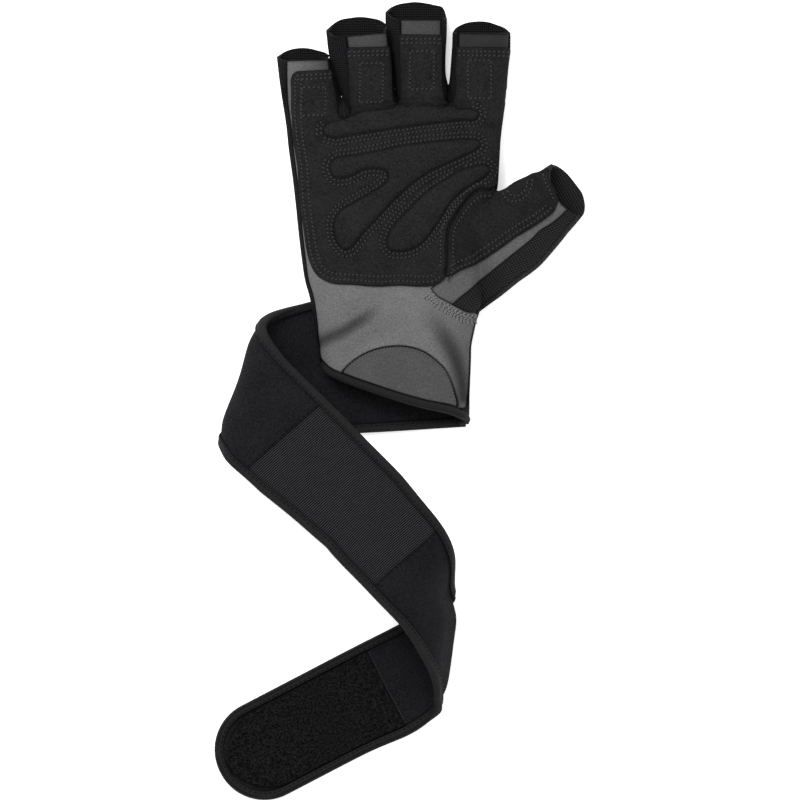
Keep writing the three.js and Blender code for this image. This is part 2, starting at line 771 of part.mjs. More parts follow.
// The back seam of the thumb runs from its crotch to the corner of the strap's root
const rootCorner = strapFlat(strapRoot - 2 * gap, strapHalf('upper', strapRoot) + gap);
const seamStart = [crotch[0] - cornerRadius / 2, crotch[1] - gap];
const aboveStrap = [0, strapWidth].map((s) => strapFlat(s, strapHalf('upper', s) + gap));
const sideEnd = aboveStrap[0][1];
const backRegion = [
  seamStart,
  rootCorner,
  ...aboveStrap,
  [-far, aboveStrap[1][1]],
  [-far, far],
  [clearOfThumb[0], far],
  clearOfThumb,
  crotch,
];
const thumbBackRegion = [
  seamStart,
  rootCorner,
  [rootCorner[0], seamEnd[1]],
  [far, seamEnd[1]],
  [far, clearOfThumb[1]],
  clearOfThumb,
  crotch,
];
const backPanel = shell.intersect(prism(outset(backRegion, -gap / 2), bottom, backHeight));

const palmPanel = shell
  .intersect(fromPalmLine(gap / 2, tall))
  .intersect(prism(palmRegion, bottom, tall))
  .subtract(prism(outset(thumbRegion, gap), bottom, tall))
  .subtract(prism(outset(moonRegion, gap), bottom, tall));

const wristGusset = shell
  .intersect(fromPalmLine(gap / 2, tall))
  .intersect(prism(palmRegion, bottom, tall))
  .intersect(prism(moonRegion, bottom, tall));

const sideLayer = shell.intersect(fromPalmLine(-gap / 2, backHeight + gap));
const fingerMiddle = fingers.map((finger) => [
  [fingerAt(finger, 0).middle, crotchY - ratio.rootReach * fingerLength],
  [fingerAt(finger, 0).middle, crotchY],
  [fingerAt(finger, 2).middle, crotchY + 2 * finger.back * fingerLength],
]);
const littleFingerSide = sideLayer.intersect(prism([
  [fingerMiddle[0][0][0], sideEnd],
  ...fingerMiddle[0],
  [-far, far],
  [-far, sideEnd],
], bottom, tall));
const indexFingerSide = sideLayer
  .intersect(prism([
    [fingerMiddle[3][0][0], crotch[1] - palmDepth],
    ...fingerMiddle[3],
    [clearOfThumb[0], far],
    [clearOfThumb[0], crotch[1] - palmDepth],
  ], bottom, tall))
  .subtract(prism(outset(thumbRegion, gap), bottom, tall))
  .subtract(prism(outset(thumbBackRegion, gap), bottom, tall));
const fourchettes = [0, 1, 2].map((i) => sideLayer.intersect(prism([
  ...fingerMiddle[i],
  ...[...fingerMiddle[i + 1]].reverse(),
], bottom, tall)));

const greySolid = (grow) => prism(outset(greyRegion, grow), thumbLevel - grow, tall)
  .intersect(prism(outset(thumbRegion, grow), bottom, tall));
const thumbShell = shell.intersect(prism(outset(thumbRegion, -gap / 2), bottom, tall));
const thumbGusset = thumbShell.intersect(greySolid(0));
const thumbBack = join([
  shell.intersect(prism(outset(thumbBackRegion, -gap / 2), bottom, thumbLevel)),
  thumbShell.intersect(prism(thumbRegion, thumbLevel, tall)),
]).subtract(greySolid(gap));

const wristTop = seamEnd[1] - gap;
const wristRegion = [[0, wristTop], [far, wristTop], [far, cuffY], [0, cuffY]];
const wristSide = shell
  .intersect(fromPalmLine(-gap / 2, strapTop))
  .intersect(prism(palmRegion, bottom, tall))
  .intersect(prism(wristRegion, bottom, tall));

const bindingStrip = [
  ...wristLine.map(([x, y]) => [x, y - gap]),
  [far, wristLine.at(-1)[1] - gap],
  [far, wristLine.at(-1)[1] - gap - cuffBindingWidth],
  ...[...wristLine].reverse().map(([x, y]) => [x, y - gap - cuffBindingWidth]),
];
const cuffBinding = hand(cuffBindingProud, true).subtract(hand(-wall - cuffBindingProud, false))
  .intersect(prism(bindingStrip, bottom, tall))
  .intersect(join([
    fromPalmLine(0, tall),
    prism([[0, cuffY], [far, cuffY], [far, 0], [0, 0]], strapTop, tall),
  ]));

// Suede over the fingers and the palm, as a plan region
const seamPart = outset(thumbRegion, overlayMargin).slice(0, Math.round(seamSteps / 3));
const overlayPalm = [
  ...smooth(overlayEdge.map(palmPlace), seamSteps),
  ...seamPart.reverse(),
  [fingerMiddle[3][1][0] + ratio.faceEdge * fingerWidth, crotchY],
];
const overlayFingers = fingers.map((finger) => {
  const end = finger.palm * fingerLength - tipStrip;
  const corners = [-ratio.rootReach, end / fingerLength / finger.back].map((share) => {
    const { middle, half } = fingerAt(finger, share);
    const face = middle + ratio.faceLean * finger.lean * fingerWidth;
    const y = crotchY + share * finger.back * fingerLength;
    return [[face - ratio.faceWidth * half, y], [face + ratio.faceWidth * half, y]];
  });
  return [corners[0][0], corners[0][1], corners[1][1], corners[1][0]];
});
const upperHalf = (outline) => prism(outline, backHeight + 2 * gap, tall);
const over = (low, high) => hand(high, true).subtract(hand(low, false));
const overlaySkin = over(gap, gap + suede);
const padSkin = over(gap + suede / 2, gap + suede + padRise);
const palmOverlay = join([
  overlaySkin.intersect(join([overlayPalm, ...overlayFingers].map(upperHalf))),
  padSkin.intersect(join(pads.map((rows) => upperHalf(stroke(rows))))),
]).subtract(prism(outset(thumbRegion, gap), bottom, tall));

const thumbSuede = [
  ...smooth(thumbSuedeEdge.map(thumbRow), seamSteps),
  thumbPlace(thumbSuedeEdge.at(-1).along * thumbLength, thumbSuedeEdge[0].across * thumbWidth),
];
const thumbOverlay = overlaySkin
  .intersect(prism(thumbSuede, thumbLevel, tall))
  .intersect(prism(outset(thumbRegion, -gap), bottom, tall));

// The strap's pieces follow each other inside the binding
const bandInset = bindingThickness + channelGap;
const elasticFrom = ratio.elasticStart * strapWidth;
const elasticTo = elasticFrom + elasticLength;
const band = { inset: bandInset, low: -bandThickness / 2, high: bandThickness / 2, columns: 4 };
const strapBand = strapPiece({ ...band, from: strapRoot, to: elasticFrom - gap / 2 });
const elasticPanel = strapPiece({ ...band, from: elasticFrom + gap / 2, to: elasticTo - gap / 2 });
const strapTongue = strapPiece({ ...band, from: elasticTo + gap / 2, to: strapEnd - bandInset });
const hookInset = bindingWidth + 2 * gap;
const hookPatch = strapPiece({
  from: strapEnd - hookLength,
  to: strapEnd - hookInset,
  inset: hookInset,
  low: bandThickness / 2 + gap,
  high: bandThickness / 2 + gap + hookThickness,
  columns: 2,
});

// Meshes

const looks = {
  suede: { color: 0x1d1d20, roughness: 0.95 },
  microfibre: { color: 0x6e6f73, roughness: 0.9 },
  knit: { color: 0x161618, roughness: 0.9 },
  mesh: { color: 0x121214, roughness: 0.85 },
  neoprene: { color: 0x1b1b1e, roughness: 0.85 },
  tape: { color: 0x2a2a2e, roughness: 0.7 },
  hook: { color: 0x0f0f11, roughness: 0.95 },
};

const group = new THREE.Group();

function addPiece(name, bodies, look) {
  const geometry = meshOf(mainBody(bodies));
  geometry.computeVertexNormals();
  const material = new THREE.MeshStandardMaterial({ ...looks[look], metalness: 0, flatShading: true });
  const piece = new THREE.Mesh(geometry, material);
  piece.name = name;
  group.add(piece);
}

addPiece('back_panel', backPanel, 'knit');
addPiece('palm_panel', palmPanel, 'microfibre');
addPiece('little_finger_side', littleFingerSide, 'knit');
addPiece('fourchette_little_ring', fourchettes[0], 'knit');
addPiece('fourchette_ring_middle', fourchettes[1], 'knit');
addPiece('fourchette_middle_index', fourchettes[2], 'knit');
addPiece('index_finger_side', indexFingerSide, 'knit');
addPiece('palm_overlay', palmOverlay, 'suede');
addPiece('thumb_overlay', thumbOverlay, 'suede');
addPiece('thumb_gusset', thumbGusset, 'microfibre');
addPiece('thumb_back', thumbBack, 'mesh');
addPiece('wrist_gusset', wristGusset, 'microfibre');
addPiece('wrist_side', wristSide, 'neoprene');
addPiece('cuff_binding', cuffBinding, 'tape');
addPiece('strap_band', strapBand, 'neoprene');
addPiece('elastic_panel', elasticPanel, 'knit');
addPiece('strap_tongue', strapTongue, 'neoprene');
addPiece('strap_binding', strapBinding(), 'tape');
addPiece('hook_patch', hookPatch, 'hook');

export default group;
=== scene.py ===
# %% [markdown]
# # A fingerless weightlifting glove
# A right-hand glove lies on the back of the hand with its palm up. Its long wrist strap is unwrapped
# and rolled back on itself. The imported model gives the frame, and every piece here takes the place of
# one of its nodes. All shapes are worked out in millimetres and put into meshes in metres.

import bpy
import numpy as np
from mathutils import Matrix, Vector
from mathutils.geometry import delaunay_2d_cdt


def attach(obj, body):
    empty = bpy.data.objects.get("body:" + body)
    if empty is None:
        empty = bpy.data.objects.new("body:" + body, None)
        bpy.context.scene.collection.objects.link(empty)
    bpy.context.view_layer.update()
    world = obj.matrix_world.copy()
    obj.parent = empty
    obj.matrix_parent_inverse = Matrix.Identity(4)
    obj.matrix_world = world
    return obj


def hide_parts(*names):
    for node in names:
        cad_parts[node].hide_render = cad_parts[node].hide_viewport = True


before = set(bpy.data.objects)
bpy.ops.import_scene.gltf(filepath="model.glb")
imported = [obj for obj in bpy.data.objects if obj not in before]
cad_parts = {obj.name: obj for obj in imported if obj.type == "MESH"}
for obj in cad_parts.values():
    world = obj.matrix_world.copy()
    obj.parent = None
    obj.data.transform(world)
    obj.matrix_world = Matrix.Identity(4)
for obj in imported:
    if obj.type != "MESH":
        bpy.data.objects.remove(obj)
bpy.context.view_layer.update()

MM = 0.001
print("nodes:", len(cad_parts))

# %% [markdown]
# ## Camera, floor and light
# The glove is seen from straight above. A very long lens far away keeps the plan free of perspective,
# as in a catalogue picture. The floor is plain and nearly white, and the light is soft: an even sky and
# one broad lamp overhead, a little towards the fingers.

# %% Camera, floor and light
VIEW_WIDTH = 0.392
VIEW_MIDDLE = (0.0, -0.098)
CAMERA_HEIGHT = 9.0
SENSOR = 36.0
SKY_STRENGTH = 0.8

camera_data = bpy.data.cameras.new("camera")
camera_data.sensor_width = SENSOR
camera_data.lens = SENSOR * CAMERA_HEIGHT / VIEW_WIDTH
camera_data.clip_end = 50.0
camera = bpy.data.objects.new("camera", camera_data)
camera.location = (*VIEW_MIDDLE, CAMERA_HEIGHT)
bpy.context.collection.objects.link(camera)
bpy.context.scene.camera = camera


def lamp(name, place, target, side, power):
    """A square area lamp of that side, in metres, aimed at a target."""
    data = bpy.data.lights.new(name, "AREA")
    data.size = side
    data.energy = power
    lit = bpy.data.objects.new(name, data)
    lit.location = place
    lit.rotation_euler = (Vector(target) - Vector(place)).to_track_quat("-Z", "Y").to_euler()
    bpy.context.collection.objects.link(lit)


lamp("overhead", (-0.45, 0.6, 1.2), (0, -0.1, 0), 0.7, 20.0)
lamp("side", (1.1, -0.5, 0.9), (0, -0.1, 0), 0.8, 4.0)
world = bpy.data.worlds.new("sky")
bpy.context.scene.world = world
world.use_nodes = True
world.node_tree.nodes["Background"].inputs["Color"].default_value = (1, 1, 1, 1)
world.node_tree.nodes["Background"].inputs["Strength"].default_value = SKY_STRENGTH
bpy.context.scene.view_settings.view_transform = "Standard"
print("camera at", tuple(round(v, 3) for v in camera.location))

# %% [markdown]
# ## Materials as sums
# A finish is a small graph of shader nodes. To read like a formula, a socket is wrapped in a class whose
# operators add the Math nodes. Every other node comes from one method that takes its type, its settings
# and its inputs.


# %% Shader helper
class Wire:
    """A socket, or a number, in a material's graph. Operators add Math nodes."""

    def __init__(self, finish, socket):
        self.finish, self.socket = finish, socket

    def math(self, operation, *others):
        """A Math node of this operation on the socket and the others."""
        return self.finish.node("ShaderNodeMath", {"operation": operation}, [self, *others])

    def __add__(self, other): return self.math("ADD", other)
    def __sub__(self, other): return self.math("SUBTRACT", other)
    def __rsub__(self, other): return (self * -1).math("ADD", other)
    def __mul__(self, other): return self.math("MULTIPLY", other)
    def __pow__(self, other): return self.math("POWER", other)


class Finish:
    """A material under construction around one Principled shader."""

    def __init__(self, name, **fixed):
        self.material = bpy.data.materials.new(name)
        self.material.use_nodes = True
        self.tree = self.material.node_tree
        self.shader = self.tree.nodes["Principled BSDF"]
        for socket, value in fixed.items():
            self.shader.inputs[socket.replace("_", " ")].default_value = value

    def node(self, kind, settings=None, inputs=(), output=0):
        """One node: its settings first, then inputs as a list by place or a dict by name."""
        made = self.tree.nodes.new(kind)
        for key, value in (settings or {}).items():
            setattr(made, key, value)
        pairs = inputs.items() if isinstance(inputs, dict) else enumerate(inputs)
        for key, value in pairs:
            if isinstance(value, Wire):
                self.tree.links.new(value.socket, made.inputs[key])
            else:
                made.inputs[key].default_value = value
        return Wire(self, made.outputs[output])

    def place(self):
        """Object coordinates in millimetres."""
        here = self.node("ShaderNodeTexCoord", output=3)
        return self.node("ShaderNodeVectorMath", {"operation": "SCALE"}, {0: here, 3: 1000.0})

    def cloth(self, axis):
        """Distance along the cloth's own length (0) or width (1), in millimetres."""
        flat = self.node("ShaderNodeUVMap", {"uv_map": "cloth"})
        return self.node("ShaderNodeSeparateXYZ", None, [flat], axis) * 1000.0

    def shade(self):
        """How dark the cloth is at a place, 0 to 1: an attribute of the piece."""
        return self.node("ShaderNodeAttribute", {"attribute_name": "shade"}, output=2)

    def noise(self, scale, detail=2.0, rough=0.5):
        """Noise from 0 to 1 with its features about 1 / scale millimetres across."""
        inputs = {"Vector": self.place(), "Scale": scale, "Detail": detail, "Roughness": rough}
        return self.node("ShaderNodeTexNoise", None, inputs)

    def wave(self, distance, pitch):
        """A sine of 0 to 1 over a distance, repeating each pitch."""
        return (distance * (2 * np.pi / pitch)).math("SINE") * 0.5 + 0.5

    def blend(self, share, low, high):
        """A colour between two, by a share of 0 to 1."""
        return self.node("ShaderNodeMix", {"data_type": "RGBA"}, {0: share, 6: low, 7: high}, 2)

    def plug(self, colour, height=None, depth=0.0001):
        """Links a colour, darkened by the piece's shade, and a bump: a height of 0 to 1 times depth, in
        metres."""
        dark = self.blend(self.shade(), colour, (0.002, 0.002, 0.002, 1.0))
        self.tree.links.new(dark.socket, self.shader.inputs["Base Color"])
        if height is not None:
            bump = self.node("ShaderNodeBump", None, {"Strength": 1.0, "Distance": depth, "Height": height})
            self.tree.links.new(bump.socket, self.shader.inputs["Normal"])
        return self.material


def grey(value, blue=0.0):
    """A neutral colour by its value on screen, 0 to 255, with a little blue."""
    linear = ((value / 255 + 0.055) / 1.055) ** 2.4
    return (linear, linear, linear * (1 + blue), 1.0)


print("a middle grey on screen is", round(grey(128)[0], 3), "in light")

# %% [markdown]
# ## Finishes
# The suede is nearly black with a soft nap. The grey microfibre has a fine mottled grain. The finger
# walls are a ribbed knit, the back of the thumb an open mesh, and the strap a neoprene with a smooth
# jersey face. Each pattern is driven by the cloth's own coordinates, so ribs follow their panel.


# %% Cloth finishes
def make_suede():
    """Near black, its nap a fine noise over a broad one."""
    f = Finish("black_suede", Roughness=0.95, Specular_IOR_Level=0.04)
    nap = f.noise(1.1, 6.0, 0.8)
    colour = f.blend(f.noise(0.09, 3.0) * 0.4 + nap * 2.6 - 1.0, grey(5), grey(42))
    return f.plug(colour, nap * 0.8 + f.noise(0.5, 2.0) * 0.2, 0.0007)


def make_microfibre():
    """Grey, mottled by a fine grain."""
    f = Finish("grey_microfibre", Roughness=0.9, Specular_IOR_Level=0.1)
    grain = f.noise(1.3, 6.0, 0.78)
    colour = f.blend(grain * 2.3 + f.noise(0.06, 2.0) * 0.3 - 0.8, grey(66), grey(117))
    return f.plug(colour, grain, 0.0005)


def make_knit():
    """Ribs along the wall, crossed by columns: height = rows * columns, and a little of each."""
    f = Finish("ribbed_knit", Roughness=0.9, Specular_IOR_Level=0.04)
    rows = f.wave(f.cloth(0), 0.95)
    columns = f.wave(f.cloth(1) + rows * 0.2, 1.2)
    height = rows * columns * 0.6 + rows * 0.2 + columns * 0.2
    colour = f.blend(height * 1.1 + f.noise(1.3, 4.0) * 0.5 - 0.25, grey(4, 0.05), grey(38, 0.08))
    return f.plug(colour, height, 0.0005)


def make_mesh():
    """Two slanting waves whose product, to the power 0.7, is the holes."""
    f = Finish("thumb_mesh", Roughness=0.85, Specular_IOR_Level=0.06)
    a = f.wave(f.cloth(0) + f.cloth(1) * 0.6, 1.5)
    b = f.wave(f.cloth(0) * 0.4 - f.cloth(1), 1.2)
    holes = (a * b) ** 0.7
    colour = f.blend(holes * 1.1 + f.noise(1.4, 4.0) * 0.8 - 0.4, grey(39, 0.05), grey(2))
    return f.plug(colour, 1 - holes, 0.0006)


def make_neoprene():
    """Black with a little blue and a fine grain."""
    f = Finish("strap_neoprene", Roughness=0.85, Specular_IOR_Level=0.05)
    grain = f.noise(1.1, 5.0, 0.75)
    colour = f.blend(grain * 2.4 + f.noise(0.06, 2.0) * 0.4 - 0.95, grey(4, 0.15), grey(33, 0.15))
    return f.plug(colour, grain, 0.0004)


def make_elastic():
    """Ribs across the strap, each cut into short ends that lie half a step off the next rib's."""
    f = Finish("ribbed_elastic", Roughness=0.75, Specular_IOR_Level=0.08)
    pitch = 0.98
    rib = f.wave(f.cloth(0), pitch)
    ends = f.wave(f.cloth(1) + (f.cloth(0) * (1 / pitch)).math("FLOOR") * 0.5, 1.0)
    height = rib * 0.55 + rib * ends * 0.45
    colour = f.blend(height * 1.6 + f.noise(0.8, 4.0) * 0.5 - 0.72, grey(1, 0.1), grey(71, 0.1))
    return f.plug(colour, height, 0.0008)


def make_tape():
    """A twill: waves along the sum of the cloth's two directions."""
    f = Finish("binding_tape", Roughness=0.75, Specular_IOR_Level=0.1)
    twill = f.wave(f.cloth(0) + f.cloth(1), 0.6)
    colour = f.blend(twill * 0.3 + f.noise(0.7, 4.0) * 0.7, grey(12, 0.08), grey(34, 0.08))
    return f.plug(colour, twill, 0.0001)


def make_hook():
    """Coarse fuzz of high contrast."""
    f = Finish("hook_fastener", Roughness=1.0, Specular_IOR_Level=0.03)
    fuzz = f.noise(1.05, 5.0, 0.85)
    colour = f.blend(fuzz * 5.5 - 2.35, grey(1), grey(38))
    return f.plug(colour, fuzz, 0.0016)


def make_thread(name, low, high, blue=0.0):
    """A thread between two greys."""
    f = Finish(name, Roughness=0.8, Specular_IOR_Level=0.1)
    return f.plug(f.blend(f.noise(3.0, 2.0), grey(low, blue), grey(high, blue)))


FINISH = {
    "suede": make_suede(),
    "microfibre": make_microfibre(),
    "knit": make_knit(),
    "mesh": make_mesh(),
    "neoprene": make_neoprene(),
    "elastic": make_elastic(),
    "tape": make_tape(),
    "hook": make_hook(),
    "thread": make_thread("black_thread", 22, 62, 0.1),
    "dark_thread": make_thread("dark_thread", 2, 8),
    # needle holes: a near-black colour, painted shade inside the holes
    "hole": make_thread("needle_hole_shade", 1, 3),
    "dull_thread": make_thread("dull_thread", 48, 100),
    "pale_thread": make_thread("pale_thread", 58, 135),
}
print("finishes:", ", ".join(FINISH))

# %% [markdown]
# ## Floor
# The floor is a single large sheet of card, dull and nearly white. It glows a little, which keeps it as
# pale as a catalogue's background, and it lies a hair under the glove.

# %% Floor
FLOOR_REACH, FLOOR_DROP = 6.0, 0.0002

card = Finish("card", Roughness=0.95, Specular_IOR_Level=0.1, Emission_Strength=0.5)
card.plug(card.blend(card.noise(0.01, 1.0), grey(249), grey(251)))
floor_mesh = bpy.data.meshes.new("floor")
corners = [(x * FLOOR_REACH, y * FLOOR_REACH, 0) for x, y in ((-1, -1), (1, -1), (1, 1), (-1, 1))]
floor_mesh.from_pydata(corners, [], [(0, 1, 2, 3)])
card.shader.inputs["Emission Color"].default_value = (1, 1, 1, 1)
floor = bpy.data.objects.new("floor", floor_mesh)
floor.location.z = -FLOOR_DROP
floor_mesh.materials.append(card.material)
bpy.context.collection.objects.link(floor)
print("floor:", 2 * FLOOR_REACH, "m across")

# %% [markdown]
# ## Tools for surfaces
# Every piece of cloth is a surface of two parameters, worked out with whole arrays. It is then given a
# thickness along its normals and closed round its rim. Points that follow a seam come from a smooth
# curve through a short table.


# %% Curves and distances
def unit(vectors):
    """Vectors over their own lengths."""
    return vectors / np.maximum(np.linalg.norm(vectors, axis=-1, keepdims=True), 1e-9)


def left(vectors):
    """Plan vectors turned a quarter turn to their left: (x, y) goes to (-y, x)."""
    return np.stack([-vectors[:, 1], vectors[:, 0]], axis=1)


def arc_length(line):
    """The length of a line up to each of its points."""
    return np.concatenate([[0], np.cumsum(np.linalg.norm(np.diff(line, axis=0), axis=1))])


def curve(points, step):
    """A smooth line through points: cubic pieces whose slopes come from the neighbours, cut into equal
    lengths of about a step."""
    p = np.asarray(points, float)
    t = arc_length(p)
    slope = np.gradient(p, t, axis=0)
    fine = np.linspace(0, t[-1], int(t[-1] / 0.15) + 2)
    k = np.clip(np.searchsorted(t, fine, side="right") - 1, 0, len(t) - 2)
    h = (t[k + 1] - t[k])[:, None]
    w = (fine - t[k])[:, None] / h
    q = ((1 + 2 * w) * (1 - w) ** 2 * p[k] + w * (1 - w) ** 2 * h * slope[k]
         + w ** 2 * (3 - 2 * w) * p[k + 1] + w ** 2 * (w - 1) * h * slope[k + 1])
    arc = arc_length(q)
    even = np.linspace(0, arc[-1], max(int(round(arc[-1] / step)) + 1, 2))
    return np.stack([np.interp(even, arc, q[:, i]) for i in range(q.shape[1])], axis=1)


PAIRS_AT_ONCE = 2_000_000


def nearest(points, line, closed=True):
    """Distance from each point to a polyline, the unit left normal of its nearest segment, and the arc
    length there."""
    a = np.asarray(line, float)
    b = np.roll(a, -1, axis=0)
    if not closed:
        a, b = a[:-1], b[:-1]
    d = b - a
    length = np.maximum(np.linalg.norm(d, axis=1), 1e-9)
    start = np.concatenate([[0], np.cumsum(length)[:-1]])
    best = np.full(len(points), 1e9)
    normal = np.zeros((len(points), 2))
    arc = np.zeros(len(points))
    chunks = max(len(points) * len(a) // PAIRS_AT_ONCE, 1)
    for chunk in np.array_split(np.arange(len(points)), chunks):
        p = points[chunk]
        t = np.clip(((p[:, None] - a) * d).sum(-1) / length ** 2, 0, 1)
        gap = np.linalg.norm(a + t[..., None] * d - p[:, None], axis=-1)
        k = gap.argmin(1)
        row = np.arange(len(chunk))
        best[chunk] = gap[row, k]
        normal[chunk] = left(d[k]) / length[k][:, None]
        arc[chunk] = start[k] + t[row, k] * length[k]
    return best, normal, arc


def inside(points, outline):
    """True where a point lies inside a closed outline: a ray to the right crosses it an odd number of
    times."""
    a = np.asarray(outline, float)
    b = np.roll(a, -1, axis=0)
    x, y = points[:, :1], points[:, 1:]
    crosses = (a[:, 1] > y) != (b[:, 1] > y)
    rise = np.where(b[:, 1] == a[:, 1], 1e-9, b[:, 1] - a[:, 1])
    return (crosses & (x < a[:, 0] + (y - a[:, 1]) * (b[:, 0] - a[:, 0]) / rise)).sum(1) % 2 == 1


def clockwise(outline):
    """True where twice a closed outline's area, the sum of x y' - x' y over its edges, is negative."""
    x, y = outline.T
    return np.sum(x * np.roll(y, -1) - np.roll(x, -1) * y) < 0


def shift(line, distance):
    """An open line moved to its left by a distance."""
    return line + distance * left(unit(np.gradient(line, axis=0)))


def ease(x, low, high):
    """0 below low, 1 above high, and t^2 * (3 - 2 t) between, t the share of the way."""
    t = np.clip((x - low) / (high - low), 0, 1)
    return t * t * (3 - 2 * t)


print("a straight line of 3 points, shifted by 1:", shift(np.array([(0.0, 0), (1, 0), (2, 0)]), 1)[:, 1])

# %% [markdown]
# ## Meshes
# A mesh is filled with whole arrays. Each vertex also carries its place on the flat cloth, which the
# finishes read. A sheet is two skins with one set of faces, joined round its rim.


# %% Meshes
SHARP = np.radians(55)


def make_piece(name, points, faces, cloth, finish, node, slot):
    """A piece from points in millimetres, a list of face arrays, and for each point its place on the flat
    cloth, two columns, and its shade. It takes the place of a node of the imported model, if one is given."""
    mesh = bpy.data.meshes.new(name)
    loops = np.concatenate([f.ravel() for f in faces]).astype(np.int32)
    sizes = np.concatenate([np.full(len(f), f.shape[1]) for f in faces])
    starts = np.concatenate([[0], np.cumsum(sizes)[:-1]]).astype(np.int32)
    mesh.vertices.add(len(points))
    mesh.vertices.foreach_set("co", (np.asarray(points) * MM).astype(np.float32).ravel())
    mesh.loops.add(len(loops))
    mesh.loops.foreach_set("vertex_index", loops)
    mesh.polygons.add(len(sizes))
    mesh.polygons.foreach_set("loop_start", starts)
    mesh.update(calc_edges=True)
    layer = mesh.uv_layers.new(name="cloth")
    layer.data.foreach_set("uv", (cloth[loops, :2] * MM).astype(np.float32).ravel())
    shade = mesh.attributes.new("shade", "FLOAT", "POINT")
    shade.data.foreach_set("value", np.clip(cloth[:, 2], 0, 1).astype(np.float32))
    mesh.validate()
    mesh.shade_smooth()
    mesh.set_sharp_from_angle(angle=SHARP)
    mesh.materials.append(FINISH[finish])
    piece = bpy.data.objects.new(name, mesh)
    bpy.context.collection.objects.link(piece)
    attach(piece, "root")
    if node:
        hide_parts(node)
    print(f"{name}: {len(points)} points, {len(sizes)} faces")
    return piece


def join(parts):
    """Several (points, faces, cloth) into one."""
    points, faces, cloth, count = [], [], [], 0
    for p, f, c in parts:
        points.append(p)
        cloth.append(c)
        faces.extend(one + count for one in f)
        count += len(p)
    return np.concatenate(points), faces, np.concatenate(cloth)


def closed_sheet(top, low, faces, cloth):
    """Two skins with the same faces, joined round every edge that only one face has."""
    count, corners = len(top), faces.shape[1]
    edges = np.concatenate([faces[:, [k, (k + 1) % corners]] for k in range(corners)])
    _, back, total = np.unique(np.sort(edges, axis=1), axis=0, return_inverse=True, return_counts=True)
    rim = edges[total[back.ravel()] == 1]
    side = np.stack([rim[:, 1], rim[:, 0], rim[:, 0] + count, rim[:, 1] + count], axis=1)
    return np.concatenate([top, low]), [faces, faces[:, ::-1] + count, side], np.concatenate([cloth, cloth])


def grid_quads(n, m, closed=False):
    """Four-sided faces of n rows of m points. closed joins each row's last point to its first."""
    i, j = np.meshgrid(np.arange(n - 1), np.arange(m if closed else m - 1), indexing="ij")
    a, b = (i * m + j).ravel(), (i * m + (j + 1) % m).ravel()
    return np.stack([a, a + m, b + m, b], axis=1)


def hose(points, line, profile):
    """A closed profile carried along a line, given as rows of points: its faces, its two end caps, and
    places on the cloth from the lengths of the line and of the profile."""
    n, m = points.shape[:2]
    quads = grid_quads(n, m, True)[:, [0, 3, 2, 1]]
    caps = [np.arange(m)[None, ::-1], np.arange(m)[None] + (n - 1) * m]
    cloth = np.stack(np.meshgrid(arc_length(line), arc_length(profile), [0.0], indexing="ij"), axis=-1)
    return points.reshape(-1, 3), [quads, *caps], cloth.reshape(-1, 3)


def normals_of(grid):
    """Unit normals of a grid of points: the cross product of its two directions."""
    return unit(np.cross(np.gradient(grid, axis=0), np.gradient(grid, axis=1)))


def thick_grid(grid, thickness, cloth):
    """A grid of points as a closed sheet. thickness is how far its hidden face lies behind it, and is
    negative where the cross product of its two directions points inwards."""
    quads = grid_quads(*grid.shape[:2])
    if thickness < 0:
        quads = quads[:, ::-1]
    inner = grid - thickness * normals_of(grid)
    return closed_sheet(grid.reshape(-1, 3), inner.reshape(-1, 3), quads, cloth.reshape(-1, 3))


ROW_RISE = 0.866  # of an even triangle, over its side


def fill(outline, pitch, rings=(0.15, 0.45, 0.9)):
    """Points and triangles inside an outline: the outline, rings close inside it, and an even
    triangular grid."""
    outline = np.asarray(outline, float)
    if clockwise(outline):
        outline = outline[::-1]
    inward = unit(left(np.roll(outline, -1, axis=0) - np.roll(outline, 1, axis=0)))
    low, high = outline.min(0), outline.max(0)
    x = np.arange(low[0], high[0] + pitch, pitch)
    y = np.arange(low[1], high[1] + pitch, pitch * ROW_RISE)
    gx, gy = np.meshgrid(x, y)
    gx = gx + (np.arange(len(y)) % 2)[:, None] * pitch / 2
    field = np.stack([gx.ravel(), gy.ravel()], axis=1)
    gap, _, _ = nearest(field, outline)
    field = field[inside(field, outline) & (gap > rings[-1] + 0.45 * pitch)]
    chosen = [outline]
    for ring in rings:
        moved = outline + ring * inward
        gap, _, _ = nearest(moved, outline)
        chosen.append(moved[inside(moved, outline) & (gap > 0.9 * ring)])
    points = np.concatenate([*chosen, field])
    n = len(outline)
    edges = [(i, (i + 1) % n) for i in range(n)]
    made = delaunay_2d_cdt([Vector(p) for p in points.tolist()], edges, [], 1, 1e-5)
    points, triangles = np.array([tuple(v) for v in made[0]]), np.array(made[2], int)
    return points, triangles[inside(points[triangles].mean(1), outline)], outline


print("tools ready")

# %% [markdown]
# ## The hand's skin
# The glove keeps the shape of a relaxed hand that lies on its back: the palm is one broad round form,
# each finger and the thumb a tube, and the skin is their smooth union. Each form is flat below and a
# superellipse above: at a share u of its half width its height is corner + rise * (1 - |u|^n)^(1/n).

# %% Sizes
PALM_WIDTH, PALM_LENGTH, PALM_DEPTH = 105.0, 156.0, 27.0
CUFF_Y = -0.722 * PALM_LENGTH
CROTCH_Y = CUFF_Y + PALM_LENGTH
FINGER_LENGTH, FINGER_WIDTH, FINGER_DEPTH = 54.0, 28.5, 19.0
THUMB_LENGTH, THUMB_WIDTH, THUMB_DEPTH = 64.0, 30.0, 20.0
THUMB_HEADING = np.radians(27.8)
CORNER = 6.0
ROUNDNESS = 2.4  # n of the superellipse
FORM_POWER = 12.0  # of the mean that joins the forms
WALL, SUEDE, PAD_RISE, GAP = 2.0, 1.2, 1.5, 0.3

